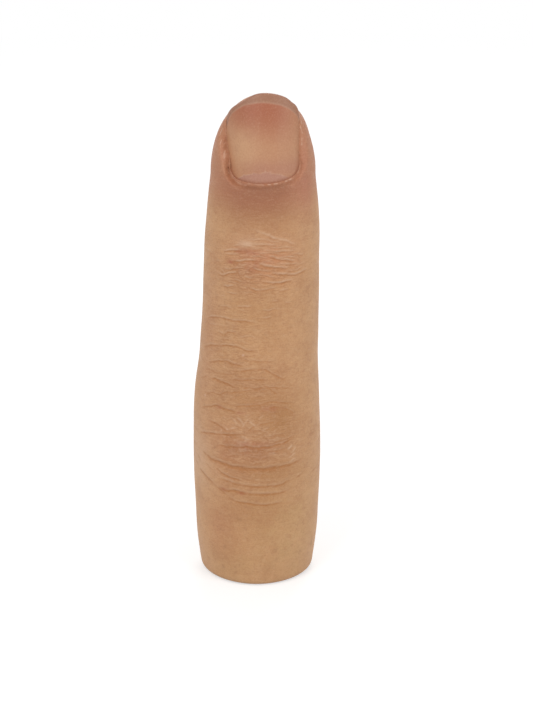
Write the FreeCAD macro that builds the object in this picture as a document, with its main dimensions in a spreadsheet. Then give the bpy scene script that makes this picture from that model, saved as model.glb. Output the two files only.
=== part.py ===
"""Positionable silicone finger prosthesis, a parametric FreeCAD document.

The finger stands on its open base: Z runs up to the fingertip, the nail side faces -Y, the palm side
faces +Y, and the origin is the centre of the socket mouth. All sizes are in millimetres.

A short residual finger is held in a soft suction liner. A resin cup over the closed end of the liner
carries a metal armature with two friction hinges, at the middle knuckle (PIP) and the end knuckle
(DIP). Foam cores fill the silicone skin round the armature. The skin is one moulding in use. Here it
is cut square to the finger into three stiff sleeves and two flex zones, one at each hinge.
"""

import FreeCAD, Part
import itertools
import math
import os

import Sketcher
from FreeCAD import Placement, Rotation, Vector

DIMENSIONS = {
    # socket that takes the residual finger
    "socket_bore": 7.0,  # radius of the hole in the liner
    "socket_straight": 7.0,  # depth of the round wall, below the half-round end
    "liner_wall": 0.6,
    "base_side_wall": 1.45,  # skin outside the liner, left and right
    "base_face_wall": 0.95,  # skin outside the liner, nail side and palm side
    "bond_gap": 0.05,  # glue line between pieces that are bonded
    "foam_gap": 0.1,  # round the foam cores
    "skin_wall": 2.4,  # skin above the socket
    # swell of the finger past its width and depth at the base
    "pad_width_swell": 1.75,
    "pad_depth_swell": 0.7,
    "knuckle_width_swell": 2.2,
    "knuckle_depth_swell": 0.5,
    "shaft_width_swell": 0.5,
    "shaft_depth_swell": -0.8,
    "end_knuckle_width_swell": -0.3,
    "end_knuckle_depth_swell": -2.0,
    "tip_width_swell": -2.1,
    "tip_depth_swell": -2.0,
    # heights of those places from the hinges, and how far the finger leans there
    "pad_below_knuckle": 13.0,
    "knuckle_below_hinge": 2.0,
    "shaft_above_knuckle": 14.0,
    "tip_above_end_knuckle": 13.0,
    "tip_rise": 12.2,  # half-round end of the fingertip
    "shaft_lean": 0.4,
    "end_knuckle_lean": 0.85,
    "tip_lean": 1.06,
    "shaft_palm_shift": 0.2,
    "tip_palm_shift": 0.9,
    "apex_nail_shift": 2.6,  # the very tip lies this far back towards the nail
    # hinges
    "joint_spacing": 29.0,
    "knuckle_flex_half": 5.7,  # half the height of the flex zone at each hinge
    "end_knuckle_flex_half": 4.6,
    "hinge_tang": 2.0,
    "hinge_washer": 0.3,
    "washer_radius": 2.3,
    "hinge_play": 0.02,
    "hinge_ear": 1.2,
    "hinge_pin": 0.8,  # radius of the shoulder screw
    "pin_play": 0.03,
    "hinge_eye": 2.6,  # radius of the eyes and ears
    "shoulder_height": 4.6,  # the links are full width beyond this distance from a hinge
    "heel_half": 0.9,
    "heel_reach": 5.2,
    "heel_room": 5.4,  # from the hinge to the floor of its fork
    "stop_web": 2.8,  # height of the web that stops the heel when the finger is straight
    "stop_play": 0.1,
    "head_radius": 1.5,
    "head_height": 0.9,
    "driver_slot": 0.4,
    "nut_across": 3.0,  # hexagon, flat to flat
    "nut_height": 1.2,
    "pin_end": 0.3,  # screw past its nut
    # cup, fork flange and anchor screws
    "cup_floor": 2.35,
    "cup_lip": 2.5,  # the cup starts this far above the round wall of the socket
    "fork_flange": 1.55,
    "flange_radius": 5.2,
    "anchor_offset": 3.4,
    "anchor_pin": 0.8,
    "anchor_head": 1.4,
    "anchor_head_height": 0.9,
    "anchor_sunk": 0.1,  # head below the dome of the cup
    "anchor_end": 0.2,  # flange left above the screw
    # distal link
    "blade_half_width": 3.2,
    "blade_thickness": 1.2,
    "blade_length": 11.0,
    "blade_block": 3.0,
    "blade_hole": 1.0,
    "blade_hole_pitch": 3.2,
    # nail
    "nail_half_width": 5.37,
    "nail_thickness": 0.55,
    "nail_bond": 0.2,  # from the back of the nail to the back of its adhesive
    "nail_cross_radius": 7.0,
    "nail_long_radius": 60.0,
    "nail_lean": 1.53,
    "nail_sink": 1.15,  # nail's middle behind the nail face of the finger where the tip starts
    "nail_tilt": 9.7,  # degrees that the nail's middle leans back
    "nail_middle": 6.6,  # heights above the place where the tip starts: the nail's middle,
    "nail_root": -0.1,  # the bottom of what shows of it
    "nail_side_end": 7.9,  # and the top of its straight sides
    "nail_root_arc": 3.2,  # rise of the root's curve from its middle to its sides
    "nail_under_fold": 1.3,  # root hidden under the skin
    "free_edge": 1.6,
}

# Places and sizes that several pieces share, as spreadsheet expressions.
SKIN_BORE = "(dims.socket_bore + dims.liner_wall + dims.bond_gap)"
DOME_BASE = "dims.socket_straight"
CUP_TOP = f"({DOME_BASE} + {SKIN_BORE} + dims.cup_floor)"
ANCHOR_HEAD = (
    f"({DOME_BASE} + sqrt({SKIN_BORE} ^ 2 - (dims.anchor_offset - dims.anchor_head) ^ 2)"
    " + dims.anchor_sunk)"
)
FLANGE_BOTTOM = f"({CUP_TOP} + dims.bond_gap)"
FORK_FLOOR = f"({FLANGE_BOTTOM} + dims.fork_flange)"
PIP = f"({FORK_FLOOR} + dims.heel_room)"
DIP = f"({PIP} + dims.joint_spacing)"
TIP_BASE = f"({DIP} + dims.tip_above_end_knuckle)"
FLESH_TOP = f"({TIP_BASE} + dims.tip_rise)"
PIP_LOW = f"({PIP} - dims.knuckle_flex_half)"
PIP_HIGH = f"({PIP} + dims.knuckle_flex_half)"
DIP_LOW = f"({DIP} - dims.end_knuckle_flex_half)"
DIP_HIGH = f"({DIP} + dims.end_knuckle_flex_half)"
BASE_HALF_WIDTH = f"({SKIN_BORE} + dims.base_side_wall)"
BASE_HALF_DEPTH = f"({SKIN_BORE} + dims.base_face_wall)"
NAIL_CREST = (
    f"({BASE_HALF_DEPTH} + dims.tip_depth_swell / 2 - dims.tip_palm_shift - dims.nail_sink)"
)
SLOT_HALF = "(dims.hinge_tang / 2 + dims.hinge_washer + 2 * dims.hinge_play)"
EAR_OUTSIDE = f"({SLOT_HALF} + dims.hinge_ear)"
PIN_HOLE = "(dims.hinge_pin + dims.pin_play)"
SHAFT_STEPS = 3  # ovals from each place along the finger to the next
DOME_STEPS = (0.3, 0.55, 0.75, 0.9, 0.98)  # shares of the fingertip's rise that get an oval
ALONG_X = Rotation(Vector(0, 1, 0), 90)
ALONG_Y = Rotation(Vector(1, 0, 0), -90)

doc = FreeCAD.newDocument("finger_prosthesis")


# ---------------------------------------------------------------- helpers
def make_sheet():
    """The spreadsheet of driving dimensions: a name and a plain number in each row."""
    sheet = doc.addObject("Spreadsheet::Sheet", "dims")
    for row, (alias, value) in enumerate(DIMENSIONS.items(), start=1):
        sheet.set(f"A{row}", alias)
        sheet.set(f"B{row}", str(value))
        sheet.setAlias(f"B{row}", alias)
    doc.recompute()
    return sheet


def bind(thing, **formulas):
    """Ties properties to the spreadsheet. x, y and z stand for the placement's position."""
    for name, formula in formulas.items():
        path = f"Placement.Base.{name}" if name in "xyz" else name
        thing.setExpression(path, formula)
    return thing


def primitive(kind, name, rotation=Rotation(), **formulas):
    """A Part primitive such as Part::Box, turned, with its sizes tied to the spreadsheet."""
    shape = doc.addObject(kind, name)
    shape.Placement = Placement(Vector(), rotation)
    return bind(shape, **formulas)


def cut(name, base, tool):
    result = doc.addObject("Part::Cut", name)
    result.Base = base
    result.Tool = tool
    return result


def common(name, base, tool):
    result = doc.addObject("Part::Common", name)
    result.Base = base
    result.Tool = tool
    return result


def fuse(name, *shapes):
    result = doc.addObject("Part::MultiFuse", name)
    result.Shapes = list(shapes)
    return result


def mirrored_pair(name, shape):
    """Two separate solids: a shape and its mirror image on the other side of the finger, in X."""
    other = doc.addObject("Part::Mirroring", f"{name}_other")
    other.Source = shape
    other.Normal = Vector(1, 0, 0)
    pair = doc.addObject("Part::Compound", name)
    pair.Links = [shape, other]
    return pair


def new_body(name):
    return doc.addObject("PartDesign::Body", name)


def sketch_on(body, role, name, **offsets):
    """A sketch on one of the body's own origin planes, moved off it by the given formulas."""
    sketch = body.newObject("Sketcher::SketchObject", name)
    plane = next(p for p in body.Origin.OriginFeatures if p.Role == role)
    sketch.AttachmentSupport = [(plane, "")]
    sketch.MapMode = "FlatFace"
    for axis, formula in offsets.items():
        sketch.setExpression(f"AttachmentOffset.Base.{axis}", formula)
    return sketch


def limit(sketch, name, formula, *constraint):
    """A sketch dimension tied to the spreadsheet."""
    index = sketch.addConstraint(Sketcher.Constraint(*constraint))
    sketch.renameConstraint(index, name)
    sketch.setExpression(f"Constraints.{name}", formula)


def number(formula):
    """The present value of a spreadsheet expression."""
    value = doc.getObject("dims").evalExpression(formula)
    return float(getattr(value, "Value", value))


def pad(body, sketch, length):
    """A pad of the given length, half each side of its sketch."""
    feature = body.newObject("PartDesign::Pad", f"{sketch.Name}_pad")
    feature.Profile = sketch
    feature.Midplane = True
    return bind(feature, Length=length)


# ---------------------------------------------------------------- finger form
def add_oval(body, name, height, half_width, half_depth, lean, shift):
    """An ellipse across the finger. The longer axis is found from the present sizes."""
    sketch = sketch_on(body, "XY_Plane", name, z=height, x=lean, y=shift)
    wide, deep = number(half_width), number(half_depth)
    if wide > deep:
        longer, shorter, direction = half_width, half_depth, "Horizontal"
        ends = Vector(wide, 0, 0), Vector(0, deep, 0)
    else:
        longer, shorter, direction = half_depth, half_width, "Vertical"
        ends = Vector(0, deep, 0), Vector(-wide, 0, 0)
    sketch.addGeometry(Part.Ellipse(*ends, Vector()))
    sketch.exposeInternalGeometry(0)
    sketch.addConstraint(Sketcher.Constraint(direction, 1))
    sketch.addConstraint(Sketcher.Constraint("Coincident", 0, 3, -1, 1))
    limit(sketch, "longer", f"2 * ({longer})", "Distance", 1, 2 * max(wide, deep))
    limit(sketch, "shorter", f"2 * ({shorter})", "Distance", 2, 2 * min(wide, deep))
    return sketch


def curve_through(places, i, share):
    """The oval a share of the way from one place to the next, on the smooth curve through them all."""
    last = len(places) - 1
    around = [places[min(max(i + step, 0), last)] for step in (-1, 0, 1, 2)]
    square, cube = share**2, share**3
    weights = (
        (2 * square - share - cube) / 2,
        (2 - 5 * square + 3 * cube) / 2,
        (share + 4 * square - 3 * cube) / 2,
        (cube - square) / 2,
    )
    height = f"({places[i][0]} + ({places[i + 1][0]} - {places[i][0]}) * {share:.6f})"
    sizes = [
        "(" + " + ".join(f"{size} * ({weight:.6f})" for size, weight in zip(column, weights)) + ")"
        for column in zip(*(place[1:] for place in around))
    ]
    return (height, *sizes)


def finger_form(name, inset):
    """The finger's outside, drawn in by inset all round: ovals up the shaft, then a half-round tip."""

    def oval_at(place, height, lean, shift):
        half_width = f"({BASE_HALF_WIDTH} + dims.{place}_width_swell / 2 - {inset})"
        half_depth = f"({BASE_HALF_DEPTH} + dims.{place}_depth_swell / 2 - {inset})"
        return height, half_width, half_depth, lean, shift

    places = [
        ("0", f"({BASE_HALF_WIDTH} - {inset})", f"({BASE_HALF_DEPTH} - {inset})", "0", "0"),
        oval_at("pad", f"({PIP} - dims.pad_below_knuckle)", "0", "0"),
        oval_at("knuckle", f"({PIP} - dims.knuckle_below_hinge)", "0", "0"),
        oval_at("shaft", f"({PIP} + dims.shaft_above_knuckle)", "dims.shaft_lean", "dims.shaft_palm_shift"),
        oval_at("end_knuckle", DIP, "dims.end_knuckle_lean", "dims.shaft_palm_shift"),
        oval_at("tip", TIP_BASE, "dims.tip_lean", "dims.tip_palm_shift"),
    ]
    ovals = [
        curve_through(places, i, step / SHAFT_STEPS)
        for i in range(len(places) - 1)
        for step in range(SHAFT_STEPS)
    ]
    ovals.append(places[-1])
    height, half_width, half_depth, lean, shift = places[-1]
    for step in DOME_STEPS:
        shrink = f"sqrt(1 - {step} ^ 2)"
        rise = f"{height} + (dims.tip_rise - {inset}) * {step}"
        back = f"{shift} - dims.apex_nail_shift * {step} ^ 2"
        ovals.append((rise, f"{half_width} * {shrink}", f"{half_depth} * {shrink}", lean, back))
    body = new_body(name)
    sketches = [add_oval(body, f"{name}_oval_{i}", *oval) for i, oval in enumerate(ovals)]
    loft = body.newObject("PartDesign::AdditiveLoft", f"{name}_loft")
    loft.Profile = sketches[0]
    loft.Sections = sketches[1:]
    return body


def slab(name, low, high):
    """A box wider than the finger between two heights."""
    side = f"8 * {BASE_HALF_WIDTH}"
    half = f"-4 * {BASE_HALF_WIDTH}"
    return primitive(
        "Part::Box", name, Length=side, Width=side, Height=f"{high} - {low}", x=half, y=half, z=low
    )


# ---------------------------------------------------------------- silicone skin
def skin_base(outside):
    """Lower sleeve of the skin, bored for the liner and the cup."""
    ring = common("skin_base_solid", outside, slab("skin_base_slab", "0", PIP_LOW))
    hole = primitive(
        "Part::Cylinder",
        "skin_base_bore",
        Radius=SKIN_BORE,
        Height=f"{PIP_LOW} + 2 * dims.skin_wall",
        z="-dims.skin_wall",
    )
    return cut("skin_base", ring, hole)


def skin_sleeve(name, outside, cavity, low, high):
    """A hollow length of the skin above the socket."""
    ring = common(f"{name}_solid", outside, slab(f"{name}_slab", low, high))
    return cut(name, ring, cavity)


def skin_distal(outside, cavity):
    """Fingertip of the skin, with the bed and the fold that the nail is set in."""
    top = f"({FLESH_TOP} + dims.skin_wall)"
    shell = skin_sleeve("skin_distal_shell", outside, cavity, DIP_HIGH, top)
    behind = "(dims.nail_thickness + dims.nail_bond + dims.bond_gap)"
    clear = "dims.bond_gap"
    window = nail_piece("nail_window", "-dims.skin_wall", behind, "0", f"-{clear}", f"-{clear}")
    under = nail_piece(
        "nail_slot",
        f"-{clear}",
        behind,
        f"(dims.nail_under_fold + {clear})",
        f"-{clear}",
        f"-{clear}",
    )
    return cut("skin_distal", shell, fuse("nail_recess", window, under))


# ---------------------------------------------------------------- nail
def nail_shell(name, front, back):
    """A doubly curved shell between two depths behind the nail's surface: a half ring across the
    finger, turned about a far axis on the palm side."""
    body = new_body(name)
    centre_y = f"(-{NAIL_CREST} + dims.nail_long_radius * cos(dims.nail_tilt * 1deg))"
    centre_z = f"({TIP_BASE} + dims.nail_middle - dims.nail_long_radius * sin(dims.nail_tilt * 1deg))"
    sketch = sketch_on(
        body, "XY_Plane", f"{name}_section", x="dims.nail_lean", y=centre_y, z=centre_z
    )
    set_back = "(dims.nail_long_radius - dims.nail_cross_radius)"
    centre = Vector(0, -number(set_back), 0)
    radii = [f"(dims.nail_cross_radius - {depth})" for depth in (front, back)]
    for radius in radii:
        circle = Part.Circle(centre, Vector(0, 0, 1), number(radius))
        sketch.addGeometry(Part.ArcOfCircle(circle, math.pi, 2 * math.pi))
    for end in (1, 2):
        sketch.addGeometry(Part.LineSegment(sketch.getPoint(0, end), sketch.getPoint(1, end)))
        line = end + 1
        sketch.addConstraint(Sketcher.Constraint("Coincident", line, 1, 0, end))
        sketch.addConstraint(Sketcher.Constraint("Coincident", line, 2, 1, end))
        for arc in (0, 1):
            sketch.addConstraint(Sketcher.Constraint("Horizontal", arc, 3, arc, end))
    sketch.addConstraint(Sketcher.Constraint("Coincident", 0, 3, 1, 3))
    sketch.addConstraint(Sketcher.Constraint("PointOnObject", 0, 3, -2))
    limit(sketch, "set_back", set_back, "DistanceY", 0, 3, -1, 1, -centre.y)
    for arc, radius in enumerate(radii):
        limit(sketch, f"radius_{arc}", radius, "Radius", arc, number(radius))
    turn = body.newObject("PartDesign::Revolution", f"{name}_turn")
    turn.Profile = sketch
    turn.ReferenceAxis = (sketch, ["H_Axis"])
    turn.Angle = 60
    turn.Midplane = True
    return body


def nail_prism(name, under_fold, side_inset, tip_inset):
    """The nail's outline seen from the front, run through the finger: a shallow arc at the root,
    straight sides and a half-round free edge."""
    body = new_body(name)
    sketch = sketch_on(body, "XZ_Plane", f"{name}_outline", x="dims.nail_lean", y=TIP_BASE)
    half = f"(dims.nail_half_width - {side_inset})"
    root = f"(dims.nail_root - {under_fold})"
    root_side = f"({root} + dims.nail_root_arc)"
    side_end = f"(dims.nail_side_end + {side_inset} - {tip_inset})"
    wide, low, turn, high = (number(size) for size in (half, root, root_side, side_end))
    left_low, right_low = Vector(-wide, turn, 0), Vector(wide, turn, 0)
    left_high, right_high = Vector(-wide, high, 0), Vector(wide, high, 0)
    sketch.addGeometry(Part.Arc(left_low, Vector(0, low, 0), right_low))
    sketch.addGeometry(Part.LineSegment(right_low, right_high))
    sketch.addGeometry(Part.Arc(right_high, Vector(0, high + wide, 0), left_high))
    sketch.addGeometry(Part.LineSegment(left_high, left_low))
    join_ends(sketch)
    for line in (1, 3):
        sketch.addConstraint(Sketcher.Constraint("Vertical", line))
    for arc in (0, 2):
        sketch.addConstraint(Sketcher.Constraint("PointOnObject", arc, 3, -2))
    arc_radius = f"(({half} ^ 2 + dims.nail_root_arc ^ 2) / (2 * dims.nail_root_arc))"
    limit(sketch, "half_width", half, "DistanceX", -1, 1, 1, 1, wide)
    limit(sketch, "root_side", root_side, "DistanceY", -1, 1, 1, 1, turn)
    limit(sketch, "side_end", side_end, "DistanceY", -1, 1, 1, 2, high)
    limit(sketch, "root_arc", arc_radius, "Radius", 0, number(arc_radius))
    pad(body, sketch, f"8 * {BASE_HALF_WIDTH}")
    return body


def join_ends(sketch):
    """Makes ends that lie at the same point coincident."""
    ends = [(line, end) for line in range(sketch.GeometryCount) for end in (1, 2)]
    for first, second in itertools.combinations(ends, 2):
        if sketch.getPoint(*first).distanceToPoint(sketch.getPoint(*second)) < 1e-6:
            sketch.addConstraint(Sketcher.Constraint("Coincident", *first, *second))


def nail_piece(name, front, back, under_fold, side_inset, tip_inset):
    shell = nail_shell(f"{name}_shell", front, back)
    return common(name, shell, nail_prism(f"{name}_prism", under_fold, side_inset, tip_inset))


def nail_plate():
    """Hard nail with its free edge standing past the fingertip."""
    return nail_piece("nail_plate", "0", "dims.nail_thickness", "dims.nail_under_fold", "0", "0")


def nail_bond():
    """Adhesive between the nail and its bed, stopping short of the free edge."""
    front = "(dims.nail_thickness + dims.bond_gap)"
    back = "(dims.nail_thickness + dims.nail_bond)"
    side = "dims.nail_bond"
    return nail_piece("nail_bond", front, back, "dims.nail_under_fold", side, "dims.free_edge")


# ---------------------------------------------------------------- socket
def round_ended(name, radius, low):
    """A solid rod from a height up to the half-round end of the socket."""
    rod = primitive("Part::Cylinder", f"{name}_rod", Radius=radius, Height=f"{DOME_BASE} - {low}", z=low)
    end = primitive("Part::Sphere", f"{name}_end", Radius=radius, z=DOME_BASE)
    end.Angle1 = 0
    return fuse(name, rod, end)


def suction_liner():
    """Soft liner that the residual finger sits in: a round wall with a half-round closed end."""
    outside = round_ended("liner_outside", "(dims.socket_bore + dims.liner_wall)", "0")
    hollow = round_ended("liner_hollow", "dims.socket_bore", "-dims.skin_wall")
    return cut("suction_liner", outside, hollow)


def socket_cup():
    """Rigid resin cup bonded over the end of the liner, with two sunk holes for the anchor screws."""
    low = f"({DOME_BASE} + dims.cup_lip)"
    puck = primitive(
        "Part::Cylinder",
        "cup_puck",
        Radius="dims.socket_bore + dims.liner_wall",
        Height=f"{CUP_TOP} - {low}",
        z=low,
    )
    seat = primitive("Part::Sphere", "cup_seat", Radius=SKIN_BORE, z=DOME_BASE)
    holes = mirrored_pair("cup_holes", anchor_form("cup_hole", "dims.pin_play"))
    return cut("socket_cup", cut("cup_shell", puck, seat), holes)


def anchor_form(name, play):
    """A countersunk screw, head down. With some play it is the hole for that screw, and the hole
    runs on through the flange and down through the recess below the head."""
    seat = primitive(
        "Part::Cone",
        f"{name}_seat",
        Radius1=f"dims.anchor_head + {play}",
        Radius2=f"dims.anchor_pin + {play}",
        Height="dims.anchor_head_height",
        x="dims.anchor_offset",
        z=ANCHOR_HEAD,
    )
    shank = primitive(
        "Part::Cylinder",
        f"{name}_shank",
        Radius=f"dims.anchor_pin + {play}",
        Height=f"{FORK_FLOOR} - dims.anchor_end - {ANCHOR_HEAD} + {play}",
        x="dims.anchor_offset",
        z=ANCHOR_HEAD,
    )
    if play == "0":
        return fuse(name, seat, shank)
    recess = primitive(
        "Part::Cylinder",
        f"{name}_recess",
        Radius=f"dims.anchor_head + {play}",
        Height="dims.cup_floor",
        x="dims.anchor_offset",
        z=f"{ANCHOR_HEAD} - dims.cup_floor",
    )
    return fuse(name, seat, shank, recess)


def anchor_screws():
    """Two countersunk screws from inside the cup into the fork's flange, each with a cross slot."""
    screw = anchor_form("anchor_screw", "0")
    slot = primitive(
        "Part::Box",
        "anchor_slot",
        Length="dims.driver_slot",
        Width="4 * dims.anchor_head",
        Height="dims.driver_slot",
        x="dims.anchor_offset - dims.driver_slot / 2",
        y="-2 * dims.anchor_head",
        z=ANCHOR_HEAD,
    )
    return mirrored_pair("anchor_screws", cut("anchor_screw_slotted", screw, slot))


# ---------------------------------------------------------------- armature
def block(name, half_x, half_y, low, high):
    """A box centred on the finger's axis between two heights."""
    return primitive(
        "Part::Box",
        name,
        Length=f"2 * {half_x}",
        Width=f"2 * {half_y}",
        Height=f"{high} - {low}",
        x=f"-{half_x}",
        y=f"-{half_y}",
        z=low,
    )


def cross_rod(name, turn, radius, half_length, height):
    """A round bar centred on the finger's axis, along X or along Y."""
    side = "x" if turn is ALONG_X else "y"
    place = {side: f"-{half_length}", "z": height}
    length = f"2 * {half_length}"
    return primitive("Part::Cylinder", name, turn, Radius=radius, Height=length, **place)


def fork(name, hinge, foot):
    """A bar with two ears round a hinge. A web across the palm side of the slot stops the heel of
    the link that turns in it when the finger is straight."""
    floor = f"({hinge} - dims.heel_room)"
    solid = fuse(
        f"{name}_solid",
        block(f"{name}_bar", EAR_OUTSIDE, "dims.hinge_eye", foot, hinge),
        cross_rod(f"{name}_round", ALONG_X, "dims.hinge_eye", EAR_OUTSIDE, hinge),
    )
    slot = block(f"{name}_slot", SLOT_HALF, "(2 * dims.hinge_eye)", floor, f"({hinge} + 2 * dims.hinge_eye)")
    web_front = "(dims.heel_half + dims.stop_play)"
    web = primitive(
        "Part::Box",
        f"{name}_web",
        Length=f"2 * {SLOT_HALF}",
        Width=f"dims.hinge_eye - {web_front}",
        Height="dims.stop_web",
        x=f"-{SLOT_HALF}",
        y=web_front,
        z=floor,
    )
    hole = cross_rod(f"{name}_hole", ALONG_X, PIN_HOLE, f"(2 * {EAR_OUTSIDE})", hinge)
    return cut(f"{name}_ears", fuse(f"{name}_stop", cut(f"{name}_slotted", solid, slot), web), hole)


def tang(name, hinge):
    """The flat eye that turns in a fork, with a heel below the hinge and a neck above it."""
    half = "(dims.hinge_tang / 2)"
    solid = fuse(
        f"{name}_solid",
        cross_rod(f"{name}_eye", ALONG_X, "dims.hinge_eye", half, hinge),
        block(f"{name}_heel", half, "dims.heel_half", f"({hinge} - dims.heel_reach)", hinge),
        block(f"{name}_neck", half, "dims.hinge_eye", hinge, f"({hinge} + dims.shoulder_height)"),
    )
    hole = cross_rod(f"{name}_hole", ALONG_X, PIN_HOLE, "dims.hinge_tang", hinge)
    return cut(f"{name}_tang", solid, hole)


def pip_fork():
    """Base of the armature: a round flange screwed to the cup, with the middle knuckle's ears."""
    flange = primitive(
        "Part::Cylinder",
        "flange",
        Radius="dims.flange_radius",
        Height=f"{FORK_FLOOR} - {FLANGE_BOTTOM}",
        z=FLANGE_BOTTOM,
    )
    ears = fork("pip_fork", PIP, FLANGE_BOTTOM)
    holes = mirrored_pair("flange_holes", anchor_form("flange_hole", "dims.pin_play"))
    return cut("pip_fork", fuse("pip_fork_blank", flange, ears), holes)


def middle_link():
    """Bar from the middle knuckle to the end knuckle, with a hole that keys it to the foam."""
    low = f"({PIP} + dims.shoulder_height)"
    high = f"({DIP} - dims.heel_room)"
    bar = block("middle_bar", EAR_OUTSIDE, "dims.hinge_eye", low, high)
    blank = fuse("middle_blank", tang("middle", PIP), bar, fork("middle_fork", DIP, high))
    key = cross_rod("middle_key", ALONG_Y, "dims.blade_hole", "(2 * dims.hinge_eye)", f"({low} + {high}) / 2")
    return cut("middle_link", blank, key)


def distal_link():
    """Link of the fingertip: a shoulder and a thin round-ended blade with three holes."""
    low = f"({DIP} + dims.shoulder_height)"
    blade_low = f"({low} + dims.blade_block)"
    half = "(dims.blade_thickness / 2)"
    end = f"({blade_low} + dims.blade_length - dims.blade_half_width)"
    blank = fuse(
        "distal_blank",
        tang("distal", DIP),
        block("distal_block", EAR_OUTSIDE, "dims.hinge_eye", low, blade_low),
        block("distal_blade", "dims.blade_half_width", half, blade_low, end),
        cross_rod("distal_end", ALONG_Y, "dims.blade_half_width", half, end),
    )
    holes = fuse(
        "distal_holes",
        *(
            cross_rod(
                f"distal_hole_{i}",
                ALONG_Y,
                "dims.blade_hole",
                "dims.hinge_eye",
                f"({end} - {i} * dims.blade_hole_pitch)",
            )
            for i in range(3)
        ),
    )
    return cut("distal_link", blank, holes)


def hinge_screw(name, hinge):
    """Shoulder screw along X: a slotted head outside one ear and the threaded end past the nut."""
    end = f"({EAR_OUTSIDE} + dims.nut_height + dims.pin_end)"
    shank = primitive(
        "Part::Cylinder",
        f"{name}_shank",
        ALONG_X,
        Radius="dims.hinge_pin",
        Height=f"{EAR_OUTSIDE} + {end}",
        x=f"-{EAR_OUTSIDE}",
        z=hinge,
    )
    head = primitive(
        "Part::Cylinder",
        f"{name}_head",
        ALONG_X,
        Radius="dims.head_radius",
        Height="dims.head_height",
        x=f"-{EAR_OUTSIDE} - dims.head_height",
        z=hinge,
    )
    slot = primitive(
        "Part::Box",
        f"{name}_driver",
        Length="dims.driver_slot",
        Width="4 * dims.head_radius",
        Height="dims.driver_slot",
        x=f"-{EAR_OUTSIDE} - dims.head_height",
        y="-2 * dims.head_radius",
        z=f"{hinge} - dims.driver_slot / 2",
    )
    return cut(f"{name}_screw", fuse(f"{name}_bolt", shank, head), slot)


def hinge_nut(name, hinge):
    """Hexagon nut that sets the friction of the hinge."""
    hexagon = primitive(
        "Part::Prism",
        f"{name}_hexagon",
        ALONG_X,
        Circumradius="dims.nut_across / sqrt(3)",
        Height="dims.nut_height",
        x=EAR_OUTSIDE,
        z=hinge,
    )
    hexagon.Polygon = 6
    hole = cross_rod(f"{name}_nut_hole", ALONG_X, PIN_HOLE, f"(2 * {EAR_OUTSIDE})", hinge)
    return cut(f"{name}_nut", hexagon, hole)


def hinge_washers(name, hinge):
    """The two friction washers, one each side of the tang."""
    disc = primitive(
        "Part::Cylinder",
        f"{name}_disc",
        ALONG_X,
        Radius="dims.washer_radius",
        Height="dims.hinge_washer",
        x="dims.hinge_tang / 2 + dims.hinge_play",
        z=hinge,
    )
    hole = cross_rod(f"{name}_disc_hole", ALONG_X, PIN_HOLE, EAR_OUTSIDE, hinge)
    return mirrored_pair(f"{name}_washers", cut(f"{name}_washer", disc, hole))


# ---------------------------------------------------------------- foam cores
def foam_middle(core):
    """Foam round the middle link, between the two flex zones."""
    rod = common("foam_middle_rod", core, slab("foam_middle_slab", PIP_HIGH, DIP_LOW))
    channel = block(
        "foam_middle_channel",
        f"({EAR_OUTSIDE} + dims.foam_gap)",
        "(dims.hinge_eye + dims.foam_gap)",
        PIP,
        DIP,
    )
    return cut("foam_middle", rod, channel)


def foam_distal(core):
    """Foam round the blade, filling the fingertip above the end knuckle's flex zone."""
    rod = common("foam_distal_rod", core, slab("foam_distal_slab", DIP_HIGH, FLESH_TOP))
    shoulder = f"({DIP} + dims.shoulder_height + dims.blade_block + dims.foam_gap)"
    end = f"({shoulder} + dims.blade_length)"
    channel = fuse(
        "foam_distal_channel",
        block(
            "foam_distal_shoulder",
            f"({EAR_OUTSIDE} + dims.foam_gap)",
            "(dims.hinge_eye + dims.foam_gap)",
            DIP,
            shoulder,
        ),
        block(
            "foam_distal_slit",
            "(dims.blade_half_width + dims.foam_gap)",
            "(dims.blade_thickness / 2 + dims.foam_gap)",
            DIP,
            end,
        ),
    )
    return cut("foam_distal", rod, channel)


# ---------------------------------------------------------------- whole finger
def build_pieces():
    """Every sub-part of the finger, from the socket to the nail."""
    outside = finger_form("outside", "0")
    cavity = finger_form("cavity", "dims.skin_wall")
    core = finger_form("core", "(dims.skin_wall + dims.foam_gap)")
    return [
        skin_base(outside),
        skin_sleeve("pip_flex_zone", outside, cavity, PIP_LOW, PIP_HIGH),
        skin_sleeve("skin_middle", outside, cavity, PIP_HIGH, DIP_LOW),
        skin_sleeve("dip_flex_zone", outside, cavity, DIP_LOW, DIP_HIGH),
        skin_distal(outside, cavity),
        nail_plate(),
        nail_bond(),
        suction_liner(),
        socket_cup(),
        anchor_screws(),
        pip_fork(),
        hinge_screw("pip", PIP),
        hinge_nut("pip", PIP),
        hinge_washers("pip", PIP),
        middle_link(),
        hinge_screw("dip", DIP),
        hinge_nut("dip", DIP),
        hinge_washers("dip", DIP),
        distal_link(),
        foam_middle(core),
        foam_distal(core),
    ]


def check_document(pieces):
    """Stops before anything is written if any object failed or any sub-part isn't sound."""
    failed = [o.Name for o in doc.Objects if {"Invalid", "Error"} & set(o.State)]
    unsound = [p.Name for p in pieces if p.Shape.isNull() or not p.Shape.isValid()]
    if failed or unsound:
        raise RuntimeError(f"failed: {failed}, unsound: {unsound}")


make_sheet()
pieces = build_pieces()
doc.recompute()
check_document(pieces)
os.makedirs("parts", exist_ok=True)
for piece in pieces:
    piece.Label = piece.Name
    piece.Shape.exportStep(f"parts/{piece.Label}.step")
    size = piece.Shape.optimalBoundingBox()
    print(
        f"{piece.Label:16s} solids {len(piece.Shape.Solids)}  volume {piece.Shape.Volume:8.2f}",
        f" Z {size.ZMin:6.2f} to {size.ZMax:6.2f}",
    )
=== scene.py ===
import math

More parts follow.
